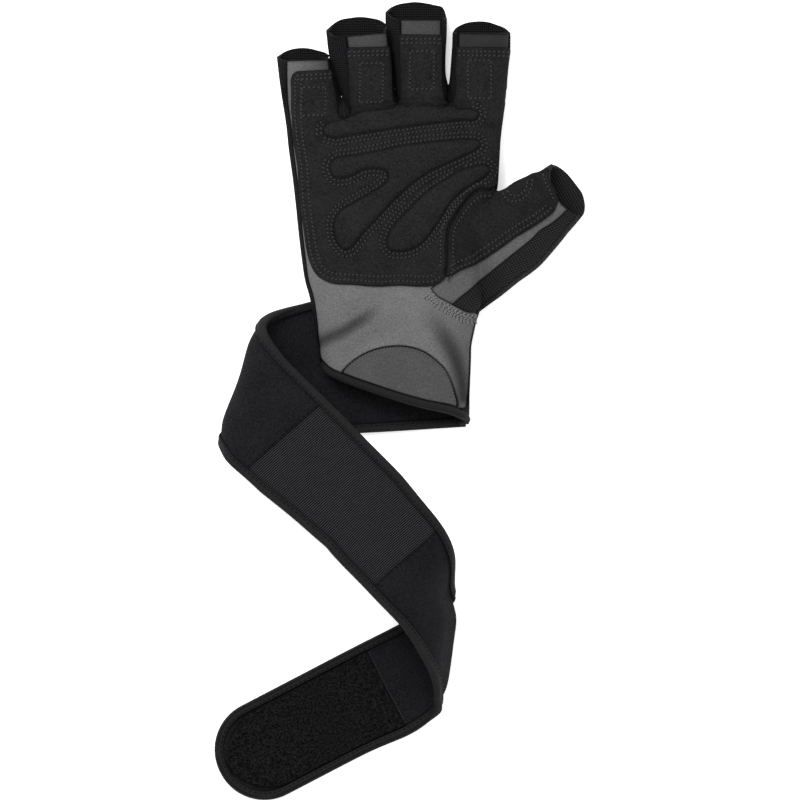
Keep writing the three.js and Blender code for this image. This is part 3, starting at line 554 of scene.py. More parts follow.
# place along the palm from the cuff, little finger's side, thumb's side, depth: shares of the sizes above
PALM_ROWS = np.array([
    (-0.02, -0.355, 0.285, 0.78), (0.06, -0.359, 0.313, 0.79), (0.16, -0.369, 0.327, 0.82),
    (0.27, -0.385, 0.332, 0.87), (0.37, -0.406, 0.373, 0.95), (0.58, -0.46, 0.42, 1.0),
    (0.77, -0.49, 0.457, 0.97), (0.86, -0.509, 0.464, 0.9), (0.94, -0.525, 0.476, 0.8),
    (0.982, -0.53, 0.488, 0.7),
])
# middle at the crotch and at the tip, length of the back, widths at both ends, lean of the palm face
FINGER_ROWS = np.array([
    (-0.397, -0.45, 0.58, 0.86, 0.877, 0.09), (-0.138, -0.189, 0.863, 0.877, 0.963, 0.15),
    (0.107, 0.084, 1.0, 0.86, 0.98, 0.06), (0.352, 0.38, 0.822, 0.89, 1.0, 0.05),
])
# back from the thumb's opening, the crotch's side, the wrist's side, depth
THUMB_ROWS = np.array([
    (-0.2, 0.5, -0.46, 0.98), (0.055, 0.51, -0.557, 1.02), (0.22, 0.515, -0.7, 1.08),
    (0.44, 0.52, -0.885, 1.18), (0.72, 0.5, -0.985, 1.27), (0.98, 0.42, -1.06, 1.2),
])
THUMB_AXIS = np.array([np.cos(THUMB_HEADING), np.sin(THUMB_HEADING)])
THUMB_MOUTH = np.array([0.453 * PALM_WIDTH + 0.53 * THUMB_LENGTH, 0.027 * PALM_LENGTH])
print("palm, mm:", PALM_WIDTH, "wide,", PALM_LENGTH, "long,", PALM_DEPTH, "deep")

# %% [markdown]
# ## Height of the skin
# The skin is a height over the plan. A dome leans where a finger rolls to one side, so its rise is found
# in three rounds. Wrinkles of the wrist are taken off: each follows a line and fades along it.


# %% Height of the skin
def dome(across, low, high, depth, lean=0.0):
    """Rise of a round top above the corner height: (depth - corner) * (1 - |u|^n)^(1/n), u the share of
    the half width. A lean moves its middle to one side as it rises."""
    z = np.ones_like(across) * depth
    for _ in range(3):
        u = (across - (low + high) / 2 - lean * (z / depth - 0.35)) / ((high - low) / 2)
        rise = (depth - CORNER) * np.maximum(1 - np.abs(u) ** ROUNDNESS, 0.004) ** (1 / ROUNDNESS)
        z = CORNER + rise
    return rise


def rows_at(rows, place):
    """A table's columns at a place along it, smoothed between its rows."""
    spread = np.linspace(-0.03, 0.03, 5)
    return [np.mean([np.interp(place + d, rows[:, 0], rows[:, i]) for d in spread], axis=0)
            for i in range(1, rows.shape[1])]


# a wrinkle from its deep end to where it fades, its half width and its depth
FOLDS = [
    ([
        (-39.2, -70.6), (-34.3, -68.1), (-28.4, -65.7), (-22.1, -61.7), (-14.7, -56.8), (-7.3, -50.5)
    ], 2.8, 3.4),
    ([
        (30.9, -97.0), (29.9, -88.2), (27.9, -80.4), (25.0, -73.5), (20.6, -65.7), (15.7, -57.8),
        (11.8, -51.9)
    ], 4.2, 3.8),
    ([(-13.7, -47.5), (-23.5, -53.4), (-34.3, -58.8)], 4.0, 0.5),
    ([(-26.9, -74.5), (-14.7, -66.6), (-2.5, -61.2), (9.8, -59.8)], 5.0, 0.7),
]
fold_lines = [curve(line, 1.0) for line, _, _ in FOLDS]


def folds(xy):
    """Depth of the wrinkles: depth * exp(-(distance / width)^2), fading over the second half of a line."""
    total = np.zeros(len(xy))
    for line, (_, width, depth) in zip(fold_lines, FOLDS):
        away, _, arc = nearest(xy, line, False)
        total += depth * np.exp(-(away / width) ** 2) * (1 - ease(arc, 0.5 * len(line), len(line)))
    return total


def skin(xy):
    """Height of the hand's outside over plan points: a high power mean of the rises of its parts, less
    the wrinkles of the wrist."""
    x, y = xy[:, 0], xy[:, 1]
    rises = []
    low, high, depth = rows_at(PALM_ROWS, (y - CUFF_Y) / PALM_LENGTH)
    palm = dome(x, low * PALM_WIDTH, high * PALM_WIDTH, depth * PALM_DEPTH)
    rises.append(palm * (1 - ease(y, CROTCH_Y - 3, CROTCH_Y + 9)))
    for root, tip, back, wide_root, wide_tip, lean in FINGER_ROWS:
        share = (y - CROTCH_Y) / (back * FINGER_LENGTH)
        middle = (root + (tip - root) * share) * PALM_WIDTH
        half = (wide_root + (wide_tip - wide_root) * share) * FINGER_WIDTH / 2
        rise = dome(x, middle - half, middle + half, FINGER_DEPTH, lean * FINGER_WIDTH)
        rises.append(rise * ease(y, CROTCH_Y - 20, CROTCH_Y - 2))
    away = THUMB_MOUTH - xy
    back = away @ THUMB_AXIS
    across = away @ np.array([THUMB_AXIS[1], -THUMB_AXIS[0]])
    crotch, wrist, depth = rows_at(THUMB_ROWS, back / THUMB_LENGTH)
    thumb = dome(across, wrist * THUMB_WIDTH, crotch * THUMB_WIDTH, depth * THUMB_DEPTH)
    rises.append(thumb * (1 - ease(back, 0.7 * THUMB_LENGTH, 1.05 * THUMB_LENGTH)))
    total = sum(np.maximum(r, 0.01) ** FORM_POWER for r in rises) ** (1 / FORM_POWER)
    return CORNER + total - folds(xy)


STEEPEST = 2.2


def skin_frame(xy, height=skin):
    """Points of a surface over plan points, and their unit normals from its slopes, which count as no
    steeper than STEEPEST."""
    d = 0.25
    slope_x = (height(xy + (d, 0)) - height(xy - (d, 0))) / (2 * d)
    slope_y = (height(xy + (0, d)) - height(xy - (0, d))) / (2 * d)
    steep = np.hypot(slope_x, slope_y)
    tame = np.minimum(1, STEEPEST / np.maximum(steep, 1e-6))
    normal = np.stack([-slope_x * tame, -slope_y * tame, np.ones_like(slope_x)], axis=1)
    return np.column_stack([xy, height(xy)]), unit(normal)


palm_grid = np.stack(np.meshgrid(np.linspace(-45, 35, 9), np.linspace(-90, 30, 7)), -1).reshape(-1, 2)
print("palm height, mm:", skin(palm_grid).round(1).min(), "to", skin(palm_grid).round(1).max())

# %% [markdown]
# ## Seams in plan
# Each wall between two fingers, and each outer side, is a table of pairs: a point on the outline, and
# the point where the wall meets the palm face. Between them the wall bulges like the tube it belongs to.

# %% Walls in plan
WALLS = {
    "little_finger_side": [
        (-60.4, 70.1, -55.4, 67.6), (-59.1, 58.8, -55.4, 58.8), (-57.7, 49.0, -55.0, 49.0),
        (-56.0, 38.2, -53.7, 38.7), (-54.5, 24.5, -52.2, 24.7), (-52.5, 9.8, -50.4, 10.0),
        (-51.1, -2.5, -49.0, -2.2), (-49.6, -17.1, -47.7, -16.9), (-48.1, -29.4, -46.3, -29.2),
        (-46.6, -39.2, -44.9, -39.0), (-44.2, -48.0, -42.5, -47.5), (-42.2, -58.8, -40.8, -58.3),
        (-41.0, -68.6, -39.9, -68.4), (-40.0, -77.4, -38.9, -77.2)
    ],
    "fourchette_little_ring": [
        (-34.6, 69.1, -35.1, 68.5), (-33.5, 65.2, -34.5, 64.9), (-32.0, 60.3, -33.8, 59.8),
        (-30.5, 55.4, -32.8, 54.6), (-29.2, 51.4, -31.8, 49.5), (-28.9, 50.3, -31.1, 45.1),
        (-28.7, 49.8, -29.6, 40.9), (-28.5, 49.8, -27.2, 39.7), (-28.4, 50.2, -24.7, 41.4),
        (-28.8, 51.3, -24.1, 46.5), (-30.2, 55.4, -24.2, 52.4), (-31.8, 60.3, -24.5, 58.8),
        (-33.2, 65.2, -24.9, 65.2), (-34.3, 69.6, -25.3, 70.1), (-35.1, 74.5, -25.6, 75.0),
        (-36.0, 83.3, -26.2, 79.9)
    ],
    "fourchette_ring_middle": [
        (-6.9, 84.3, -6.5, 81.8), (-5.3, 80.4, -6.1, 79.4), (-4.8, 74.5, -5.6, 74.2),
        (-4.1, 68.6, -5.0, 68.4), (-3.4, 61.2, -4.5, 60.8), (-2.8, 56.4, -4.3, 54.9),
        (-2.6, 54.4, -4.1, 51.0), (-2.5, 53.6, -3.2, 48.0), (-2.4, 53.6, -1.2, 47.0),
        (-2.3, 54.4, 0.5, 48.8), (-2.5, 56.8, 1.0, 52.9), (-3.1, 61.2, 0.9, 59.8),
        (-3.8, 68.6, 0.6, 67.6), (-4.5, 74.5, 0.4, 74.5), (-5.1, 80.4, 0.2, 80.8),
        (-6.6, 84.8, 0.2, 84.3), (-7.0, 92.1, 0.1, 88.0)
    ],
    "fourchette_middle_index": [
        (23.0, 88.7, 20.1, 88.0), (22.9, 80.8, 20.1, 80.8), (22.5, 73.5, 20.1, 73.5),
        (22.3, 67.6, 20.1, 66.6), (22.5, 61.2, 20.2, 58.8), (23.2, 57.8, 20.6, 52.9),
        (23.5, 56.6, 21.8, 48.8), (23.8, 56.5, 24.3, 47.4), (24.0, 57.3, 26.9, 49.0),
        (24.2, 58.8, 27.9, 53.9), (24.5, 61.7, 27.9, 60.8), (25.0, 68.6, 28.1, 68.1),
        (25.5, 76.0, 28.3, 75.5), (25.7, 81.8, 28.4, 81.6)
    ],
    "index_finger_side": [
        (54.1, 81.8, 53.5, 81.3), (54.0, 73.5, 53.4, 73.5), (53.1, 66.2, 52.5, 66.2),
        (52.4, 58.8, 51.8, 58.8), (51.9, 51.4, 51.4, 51.4), (51.0, 44.1, 50.4, 44.1),
        (50.0, 36.8, 49.4, 36.8), (49.1, 29.4, 48.5, 29.4), (48.5, 19.6, 47.9, 19.6),
        (48.0, 10.8, 47.4, 10.8), (47.8, 5.9, 47.0, 6.4)
    ],
    "thumb_crotch_side": [
        (48.0, 4.2, 47.5, 3.2), (50.0, 4.8, 49.8, 3.9), (51.9, 5.9, 52.2, 5.0), (53.9, 7.4, 54.4, 6.6),
        (56.4, 9.1, 56.8, 8.3), (59.3, 10.4, 59.8, 9.7), (62.2, 11.8, 62.7, 11.0),
        (64.7, 13.1, 65.2, 12.3), (67.6, 13.8, 68.0, 13.0), (69.6, 14.8, 70.1, 14.0),
        (71.8, 16.3, 71.6, 14.9), (74.0, 17.6, 72.9, 14.0)
    ],
    "thumb_wrist_side": [
        (88.2, -9.3, 86.2, -8.3), (85.8, -12.2, 83.8, -10.8), (82.3, -16.2, 80.4, -14.7),
        (78.4, -21.1, 76.7, -19.6), (73.5, -26.9, 72.0, -25.2), (68.6, -32.3, 67.4, -30.4),
        (63.7, -36.3, 62.5, -34.3), (58.8, -39.7, 57.6, -37.7), (53.9, -43.6, 52.7, -41.6),
        (49.0, -47.5, 47.8, -45.6), (44.1, -51.0, 42.9, -49.2), (39.0, -54.8, 37.6, -54.7)
    ],
    "wrist_side": [
        (39.0, -54.8, 37.6, -55.0), (37.7, -58.8, 37.0, -58.8), (36.1, -65.7, 35.5, -65.7),
        (35.0, -71.5, 34.4, -71.5), (34.8, -78.4, 34.2, -78.4), (34.4, -88.2, 33.8, -88.2),
        (34.1, -95.5, 33.3, -95.5), (34.0, -103.9, 32.1, -101.7), (33.8, -109.8, 30.4, -102.2)
    ],
}
ARCS = {
    "little": [
        (-60.4, 70.1), (-56.4, 72.7), (-52.4, 74.0), (-47.0, 74.5), (-41.2, 73.5), (-37.7, 72.0),
        (-34.6, 69.1)
    ],
    "ring": [
        (-36.0, 83.3), (-32.8, 86.2), (-29.4, 88.2), (-24.5, 89.2), (-19.6, 89.7), (-14.7, 89.2),
        (-10.8, 88.2), (-6.9, 84.3)
    ],
    "middle": [
        (-7.0, 92.1), (-4.9, 94.1), (-2.0, 95.5), (2.5, 96.5), (7.8, 97.0), (12.2, 96.5), (17.1, 95.5),
        (20.6, 94.6), (23.0, 88.7)
    ],
    "index": [
        (25.7, 81.8), (27.4, 84.3), (29.9, 85.8), (32.3, 86.7), (37.7, 87.5), (43.1, 87.2),
        (47.5, 85.8), (51.4, 84.3), (54.1, 81.8)
    ],
    "thumb": [
        (74.0, 17.6), (76.9, 16.7), (79.9, 14.7), (83.3, 11.3), (86.7, 6.9), (89.2, 3.4), (90.2, 0.0),
        (90.6, -3.9), (90.2, -6.4), (88.2, -9.3)
    ],
}
THUMB_SEAM = [
    (46.5, 6.4), (43.1, 4.9), (38.2, 4.9), (34.3, 2.0), (30.9, -1.5), (26.9, -7.3), (23.5, -13.7),
    (22.5, -22.1), (22.5, -30.4), (21.1, -37.2), (17.6, -41.2), (15.2, -43.6)
]
THUMB_END = [
    (15.2, -43.6), (16.7, -45.6), (18.6, -47.5), (22.1, -49.5), (25.5, -51.4), (29.4, -53.4),
    (32.8, -54.9), (35.3, -55.2), (37.5, -55.1)
]
HALF_MOON = [
    (-28.4, -83.8), (-24.5, -79.9), (-19.6, -76.4), (-14.7, -74.0), (-9.8, -72.5), (-2.5, -71.5),
    (4.9, -72.0), (12.2, -74.5), (17.1, -77.9), (22.1, -82.8), (25.0, -88.2), (26.9, -94.1),
    (28.4, -99.7)
]
CUFF_EDGE = [
    (-38.2, -78.4), (-34.3, -82.1), (-28.4, -84.8), (-22.1, -87.2), (-12.2, -90.6), (0.0, -94.6),
    (12.2, -98.0), (24.5, -100.5), (31.1, -102.4)
]
GREY_EDGE = [
    (81.8, -4.9), (78.4, -8.3), (73.5, -12.2), (68.6, -15.2), (64.7, -19.1), (58.8, -24.0),
    (53.9, -27.9), (49.0, -31.8), (44.1, -35.8), (39.2, -39.7), (34.3, -44.1), (29.4, -48.0),
    (25.5, -51.4)
]
THUMB_TIP = [(72.8, 13.2), (73.5, 8.8), (76.0, 3.9), (77.9, -1.0), (81.8, -4.9)]
STEP = 0.9
WALL_CLOTH = 1.4
TURNED = ("little_finger_side",)  # its table runs the other way, so its cloth lies on the other side


def wall_lines(name):
    """The outer line of a wall and the line where it meets the face, cut into the same number of steps."""
    rows = curve(np.array(WALLS[name]).reshape(-1, 4), STEP)
    return rows[:, :2], rows[:, 2:]


wall_plan = {name: wall_lines(name) for name in WALLS}
print("walls:", {name: len(lines[0]) for name, lines in wall_plan.items()})

# %% [markdown]
# ## Surface of a wall
# A wall could be cut from a tube, but it is simpler to carry the tube's bulge along the pair of seams:
# across the wall the height is the superellipse again, scaled to meet the palm face.


# %% Wall surface
FOOT, WALL_ROWS, FRONT = 5.7, 15, 3.5  # height of a wall's foot, rows of its grid, reach of its front


def wall_surface(outer, inner, half=14.0, sag=(0, 0), press=0.0):
    """A grid that rises from FOOT at the outer line and bulges in to the face at the inner line: height
    = corner + (face - corner) * g, where g is the superellipse of half width half, scaled to 1 at the seam.
    sag is how far the front edge dips between its corners, at the start and at the end, and press how far
    the cloth swells over the outer line, where two fingers touch."""
    face = skin(inner)
    width = np.linalg.norm(outer - inner, axis=1)
    kappa = np.clip(width / half, 0.02, 1.0)[:, None]
    r = (np.linspace(0, 1, WALL_ROWS) ** 2)[None, :]
    n = ROUNDNESS
    g = (1 - (1 - r * kappa) ** n) ** (1 / n) / (1 - (1 - kappa) ** n) ** (1 / n)
    plan = outer[:, None] + r[..., None] * (inner - outer)[:, None]
    swell = press * np.sin(np.pi * np.clip(r * 12, 0, 1))
    plan -= swell[..., None] * ((inner - outer) / width[:, None])[:, None]
    place = np.arange(len(outer)) * STEP
    dip = sag[0] * np.exp(-(place / FRONT) ** 2) + sag[1] * np.exp(-((place[-1] - place) / FRONT) ** 2)
    plan[..., 1] -= dip[:, None] * np.sin(np.pi * r ** 0.6)
    z = CORNER + (face[:, None] - CORNER) * g
    upper = np.concatenate([plan, z[..., None]], axis=2)
    lower = np.concatenate([outer, np.full((len(outer), 1), FOOT)], axis=1)[:, None]
    return np.concatenate([lower, upper], axis=1)


def lengths(grid):
    """Place on the flat cloth: mean length along the first direction, and length along the second. The
    third column is the shade of its two seams."""
    along = np.linalg.norm(np.diff(grid, axis=0), axis=2)
    along = np.concatenate([[0], np.cumsum(along.mean(1))])
    across = np.linalg.norm(np.diff(grid, axis=1), axis=2)
    across = np.concatenate([np.zeros((len(grid), 1)), np.cumsum(across, axis=1)], axis=1)
    dark = 0.75 * np.exp(-((across[:, -1:] - across) / 0.5) ** 2) + 0.3 * np.exp(-(across / 1.0) ** 2)
    return np.stack([np.broadcast_to(along[:, None], across.shape), across, dark], axis=2)


def wall_part(name, half=14.0, sag=(0, 0), press=0.0):
    """A wall as points, faces and cloth places."""
    grid = wall_surface(*wall_plan[name], half=half, sag=sag, press=press)
    return thick_grid(grid, WALL_CLOTH if name in TURNED else -WALL_CLOTH, lengths(grid))


print("a wall has", WALL_ROWS, "rows above its foot")

# %% [markdown]
# ## Finger walls
# Between the fingers, and along both outer sides, runs a black ribbed knit. Where two fingers touch, it
# swells over its outer line. The cuff's wall on the thumb's side is neoprene.

# %% Finger walls
FINGER_WALLS = {  # half width of the tube that each belongs to, dip of its two front edges, swell
    "little_finger_side": (30.0, (0.8, 0), 0), "fourchette_little_ring": (14.0, (0, 2.2), 0.6),
    "fourchette_ring_middle": (14.0, (0.3, 1.6), 0.6), "fourchette_middle_index": (14.0, (0.8, 0.6), 0),
    "index_finger_side": (30.0, (0, 0), 0),
}
for name, (half, sag, press) in FINGER_WALLS.items():
    make_piece(name, *wall_part(name, half, sag, press), "knit", name, "ribbed_knit")
make_piece("wrist_side", *wall_part("wrist_side", 30.0), "neoprene", "wrist_side", "strap_neoprene")

# %% [markdown]
# ## Palm panels
# A panel is a region of the skin trimmed on its seams. It is filled with even triangles, laid on the
# skin, and given the thickness of its cloth along the skin's normals. Towards its edge it rolls down, so
# that each seam shows as a soft groove, and painted shade darkens the cloth along that groove.


# %% Panels on the skin
def lay(outline, low, high, pitch, roll=0.5, height=skin, dark=0.0):
    """A closed sheet on a surface. low and high are its two sides along the normal, high may be a
    function of the plan points, and roll is the radius of its edge. dark is its shade, a number or a
    function, to which painted shade along its edge, in the groove of the seam, is added."""
    xy, triangles, outline = fill(outline, pitch)
    edge, _, _ = nearest(xy, outline)
    base, normal = skin_frame(xy, height)
    near = np.clip(1 - edge / roll, 0, 1)
    drop = roll * (1 - np.sqrt(1 - near ** 2))
    up = (high(xy) if callable(high) else high) - drop
    # painted shade along the edge, in the seam's groove
    shade = (dark(xy) if callable(dark) else dark) + 0.6 * np.exp(-(edge / 0.5) ** 2)
    return closed_sheet(base + normal * up[:, None], base + normal * low, triangles,
                        np.column_stack([xy, shade]))


def path(*parts):
    """One outline from several lines, without points on top of each other."""
    line = np.concatenate([np.asarray(p, float) for p in parts])
    step = np.linalg.norm(line - np.roll(line, 1, axis=0), axis=1)
    return line[step > 0.12]


def edge_of(name):
    """The line where a wall meets the palm face."""
    return wall_plan[name][1]


print("panels are cut from", len(wall_plan), "walls")

# %% [markdown]
# ## Grey panels
# The grey microfibre is one panel for the palm and its four fingers, a half moon set in above the cuff,
# and the thumb's own panel. The palm darkens at the fingers and in the wrinkles.


# %% Grey panels
GREY_PITCH = 1.15


def palm_shade(xy):
    """How much darker the grey is at the fingers and towards its thumb side, with painted shade in the
    folds of the wrist.
    """
    x, y = xy.T
    high = ease(y, 20, 60)
    return 0.45 * high * ease(x, -55, -30) + 0.2 * high + 0.2 * ease(x, 20, 33) + 0.17 * folds(xy)


seam = curve(THUMB_SEAM, STEP)
seam_end = curve(THUMB_END, STEP)
moon = curve(HALF_MOON, STEP)
cuff_edge = curve(CUFF_EDGE, STEP)
tips = [curve([edge_of(a)[i], edge_of(b)[j]], STEP) for a, i, b, j in (
    ("little_finger_side", 0, "fourchette_little_ring", 0),
    ("fourchette_little_ring", -1, "fourchette_ring_middle", 0),
    ("fourchette_ring_middle", -1, "fourchette_middle_index", 0),
    ("fourchette_middle_index", -1, "index_finger_side", 0),
)]
moon_foot = cuff_edge[cuff_edge[:, 0] < moon[0, 0]]
moon_heel = cuff_edge[cuff_edge[:, 0] > moon[-1, 0]]
palm_outline = path(
    edge_of("little_finger_side")[::-1], tips[0], edge_of("fourchette_little_ring"), tips[1],
    edge_of("fourchette_ring_middle"), tips[2], edge_of("fourchette_middle_index"), tips[3],
    edge_of("index_finger_side"), seam, seam_end, edge_of("wrist_side"), moon_heel[::-1],
    moon[::-1], moon_foot[::-1],
)
make_piece("palm_panel", *lay(palm_outline, -WALL, 0.0, GREY_PITCH, dark=palm_shade),
           "microfibre", "palm_panel", "grey_microfibre")

middle_foot = cuff_edge[(cuff_edge[:, 0] >= moon[0, 0]) & (cuff_edge[:, 0] <= moon[-1, 0])]
moon_outline = path(shift(moon, -0.15), middle_foot[::-1])
make_piece("wrist_gusset", *lay(moon_outline, -WALL, -0.1, GREY_PITCH, dark=0.5),
           "microfibre", "wrist_gusset", "grey_microfibre")

grey_edge = curve(GREY_EDGE, STEP)
thumb_tip = curve(THUMB_TIP, STEP)
thumb_outline = path(
    seam[::-1], edge_of("thumb_crotch_side"), thumb_tip, grey_edge,
    seam_end[: len(seam_end) * 9 // 20][::-1],
)
make_piece("thumb_gusset", *lay(thumb_outline, -WALL, 0.0, GREY_PITCH, dark=0.3),
           "microfibre", "thumb_gusset", "grey_microfibre")

# %% [markdown]
# ## Pads
# Three quilted pads are raised in the palm's suede: inside a pad's outline the suede swells with a round
# shoulder, and outside it two rows of stitches pull it down.

# %% Pads
SIDE_EDGE = [
    (-50.5, 62.7), (-51.9, 61.7), (-52.8, 59.3), (-52.7, 53.9), (-52.4, 36.8), (-51.9, 29.4),
    (-51.0, 24.5), (-49.5, 14.7), (-49.0, 4.9), (-48.0, -4.9), (-46.5, -14.7), (-45.1, -24.5),
    (-43.1, -31.8), (-40.2, -36.8), (-36.3, -39.7), (-31.8, -41.2), (-24.5, -41.6), (-9.8, -42.6),
    (0.0, -42.1), (9.8, -42.6), (17.1, -41.9), (20.1, -40.2), (22.5, -37.7)
]
FINGER_TOPS = {
    "little": [(-34.2, 63.6), (-50.5, 62.8)],
    "ring": [(-6.1, 74.8), (-25.0, 74.5)],
    "middle": [(19.6, 80.6), (1.0, 80.9)],
    "index": [(52.4, 74.5), (28.9, 74.6)],
}
PAD_CROWN = [(-37.2, 37.7), (-17.1, 42.1), (12.2, 45.6), (34.3, 44.1)]
PADS = [
    [
        (-36.8, 31.4), (-37.2, 34.3), (-35.3, 36.8), (-29.4, 38.5), (-24.5, 40.2), (-17.1, 42.6),
        (-7.3, 44.1), (2.5, 45.6), (12.2, 46.1), (18.1, 45.6), (24.5, 44.6), (31.8, 44.3), (36.3, 43.9),
        (38.5, 42.1), (37.2, 39.9), (31.8, 39.0), (24.5, 38.0), (14.7, 36.8), (4.9, 35.5), (-4.9, 34.1),
        (-14.7, 32.6), (-24.5, 31.1), (-31.4, 29.9)
    ],
    [
        (-32.8, 18.6), (-30.9, 20.1), (-26.9, 20.6), (-12.2, 23.0), (0.0, 25.7), (14.7, 27.7),
        (24.5, 28.7), (32.3, 29.2), (37.7, 28.4), (38.7, 26.5), (36.8, 24.5), (29.4, 20.6),
        (22.1, 17.1), (14.7, 13.7), (7.3, 8.8), (0.0, 2.5), (-7.3, -4.9), (-13.7, -11.8),
        (-18.6, -17.1), (-21.6, -21.1), (-24.0, -23.8), (-26.5, -24.5), (-28.9, -22.5), (-30.9, -19.1),
        (-31.8, -13.7), (-30.9, -8.8), (-28.4, -5.4), (-24.5, -2.9), (-19.6, 0.0), (-13.7, 3.4),
        (-7.3, 7.8), (-5.4, 10.8), (-6.9, 14.0), (-12.2, 14.9), (-18.6, 14.2), (-22.1, 12.2),
        (-26.9, 10.5), (-31.4, 10.8), (-33.3, 13.2), (-33.8, 16.2)
    ],
    [
        (35.8, 16.2), (28.4, 13.5), (22.1, 9.6), (14.7, 4.9), (7.3, -1.7), (1.5, -7.6), (-2.5, -12.2),
        (-5.6, -17.6), (-6.4, -22.5), (-4.4, -24.7), (0.0, -25.2), (5.4, -24.3), (9.8, -21.8),
        (13.7, -17.6), (17.6, -12.0), (21.1, -6.4), (24.5, -1.2), (29.4, 3.7), (35.3, 7.6),
        (41.2, 11.8), (43.1, 14.5), (41.2, 16.7)
    ],
]
PAD_ROWS = (1.3, 3.3)  # how far the two rows of stitches lie outside a pad
SHOULDER = 4.5  # width of a pad's round shoulder
pad_lines = [curve(p + p[:1], 0.8)[:-1] for p in PADS]


def overlay_height(xy):
    """Height of the suede above the skin: its own thickness, the pads' round shoulders, a crease round
    each pad and a light one under the stitches outside it."""
    high = np.full(len(xy), GAP + SUEDE)
    for line in pad_lines:
        away = nearest(xy, line)[0]
        within = inside(xy, line)
        shoulder = np.clip(away / SHOULDER, 0, 1)
        high += np.where(within, PAD_RISE * np.sqrt(1 - (1 - shoulder) ** 2), 0)
        high -= 0.35 * np.exp(-(away / 0.7) ** 2)
        first, second = (np.exp(-((away - row) / 0.8) ** 2) for row in PAD_ROWS)
        high -= np.where(within, 0, 0.3 * first + 0.25 * second)
    return high


def overlay_shade(xy):
    """Painted shade in the crease round each pad and in the rows outside it."""
    shade = np.zeros(len(xy))
    for line in pad_lines:
        away = nearest(xy, line)[0]
        outside = ~inside(xy, line)
        first, second = (0.35 * np.exp(-((away - row) / 0.7) ** 2) for row in PAD_ROWS)
        shade += 0.75 * np.exp(-(away / 0.4) ** 2) + outside * (first + second)
    return shade


print("pads:", len(PADS))

# %% [markdown]
# ## Suede overlays
# A second layer of black suede covers the palm and the fingers up to a grey strip at each tip, and
# another the thumb.


# %% Suede overlays
def cut(line, where):
    """The part of a line for which where is true."""
    return line[where(line)]


side_edge = curve(SIDE_EDGE, STEP)
tops = {name: curve(line, STEP) for name, line in FINGER_TOPS.items()}


def gap_edge(name, left_top, right_top):
    """The edge of a gap between two fingers below both finger tops."""
    line = edge_of(name)
    half = line[:, 1].argmin()
    left = line[:half][line[:half, 1] < left_top]
    right = line[half:][line[half:, 1] < right_top]
    return np.concatenate([left, right])


overlay_outline = path(
    tops["little"][::-1],
    gap_edge("fourchette_little_ring", tops["little"][0, 1], tops["ring"][-1, 1]),
    tops["ring"][::-1],
    gap_edge("fourchette_ring_middle", tops["ring"][0, 1], tops["middle"][-1, 1]),
    tops["middle"][::-1],
    gap_edge("fourchette_middle_index", tops["middle"][0, 1], tops["index"][-1, 1]),
    tops["index"][::-1],
    cut(edge_of("index_finger_side"), lambda p: p[:, 1] < tops["index"][0, 1]),
    shift(seam[:-14], -0.35)[2:],
    side_edge[::-1],
)
SUEDE_UNDER, SUEDE_ROLL = GAP / 3, 0.9
palm_suede = lay(overlay_outline, SUEDE_UNDER, overlay_height, 0.75, SUEDE_ROLL, dark=overlay_shade)
suede = make_piece("palm_overlay", *palm_suede, "suede", "palm_overlay", "black_suede")

THUMB_PATCH = np.array([(57.8, 5.9)])
THUMB_SUEDE = [
    (76.9, -2.0), (75.0, -5.9), (71.0, -9.3), (66.2, -12.7), (61.2, -15.7), (56.4, -18.6),
    (49.0, -24.0), (41.6, -28.9), (34.3, -32.8), (29.4, -34.8), (24.0, -38.2)
]
thumb_suede = curve(THUMB_SUEDE, STEP)
thumb_overlay_outline = path(
    shift(seam[:-10], 0.35)[2:][::-1], edge_of("thumb_crotch_side")[2:-1], thumb_tip[1:-7], thumb_suede,
)
thumb_sheet = lay(thumb_overlay_outline, SUEDE_UNDER, GAP + SUEDE, 0.8, SUEDE_ROLL, dark=0.15)
make_piece("thumb_overlay", *thumb_sheet, "suede", "thumb_overlay", "black_suede")

# %% [markdown]
# ## Back of the hand
# The back lies flat, turns up round its sides with a quarter circle, and ends in an arc behind each
# finger, where its inner face shows above the palm side.


# %% Back of the hand
BACK_PITCH = 1.5


def bottom(outline, sides):
    """A closed sheet whose lower face is the underside: flat, and turned up with a quarter circle at the
    sides. These run clockwise, so their left normals point out of the piece: at a share u of the corner's
    radius from flat to edge its height is r - r * sqrt(1 - u^2)."""
    xy, triangles, outline = fill(outline, BACK_PITCH, (0.25, 0.8, 1.7, 3.0))
    lines = [nearest(xy, side, False) for side in sides]
    gaps = np.array([line[0] for line in lines])
    best = gaps.argmin(0)
    away = gaps.min(0)
    out = np.array([line[1] for line in lines])[best, np.arange(len(xy))]
    share = (CORNER - np.minimum(away, CORNER)) / CORNER
    level = np.sqrt(1 - share ** 2)
    z = CORNER - GAP - (CORNER - GAP) * level
    normal = np.column_stack([out * share[:, None], -level])
    low = np.column_stack([xy, z])
    return closed_sheet(low - normal * WALL, low, triangles, np.column_stack([xy, 0 * z]))


STRAP_ORIGIN = np.array([-0.395 * PALM_WIDTH, -0.432 * PALM_LENGTH])
STRAP_HEADING = np.radians(3.4)
strap_down = np.array([-np.cos(STRAP_HEADING), -np.sin(STRAP_HEADING)])
strap_up = np.array([-np.sin(STRAP_HEADING), np.cos(STRAP_HEADING)])
STRAP_WIDTH = 50.0
STRAP_ROOT = -1.5 * STRAP_WIDTH
ROOT_HALF = 0.364


def strap_plan(s, v):
    """A place in plan of the strap's flat pattern, s along it and v above its middle line."""
    return STRAP_ORIGIN + np.multiply.outer(s, strap_down) + np.multiply.outer(v, strap_up)


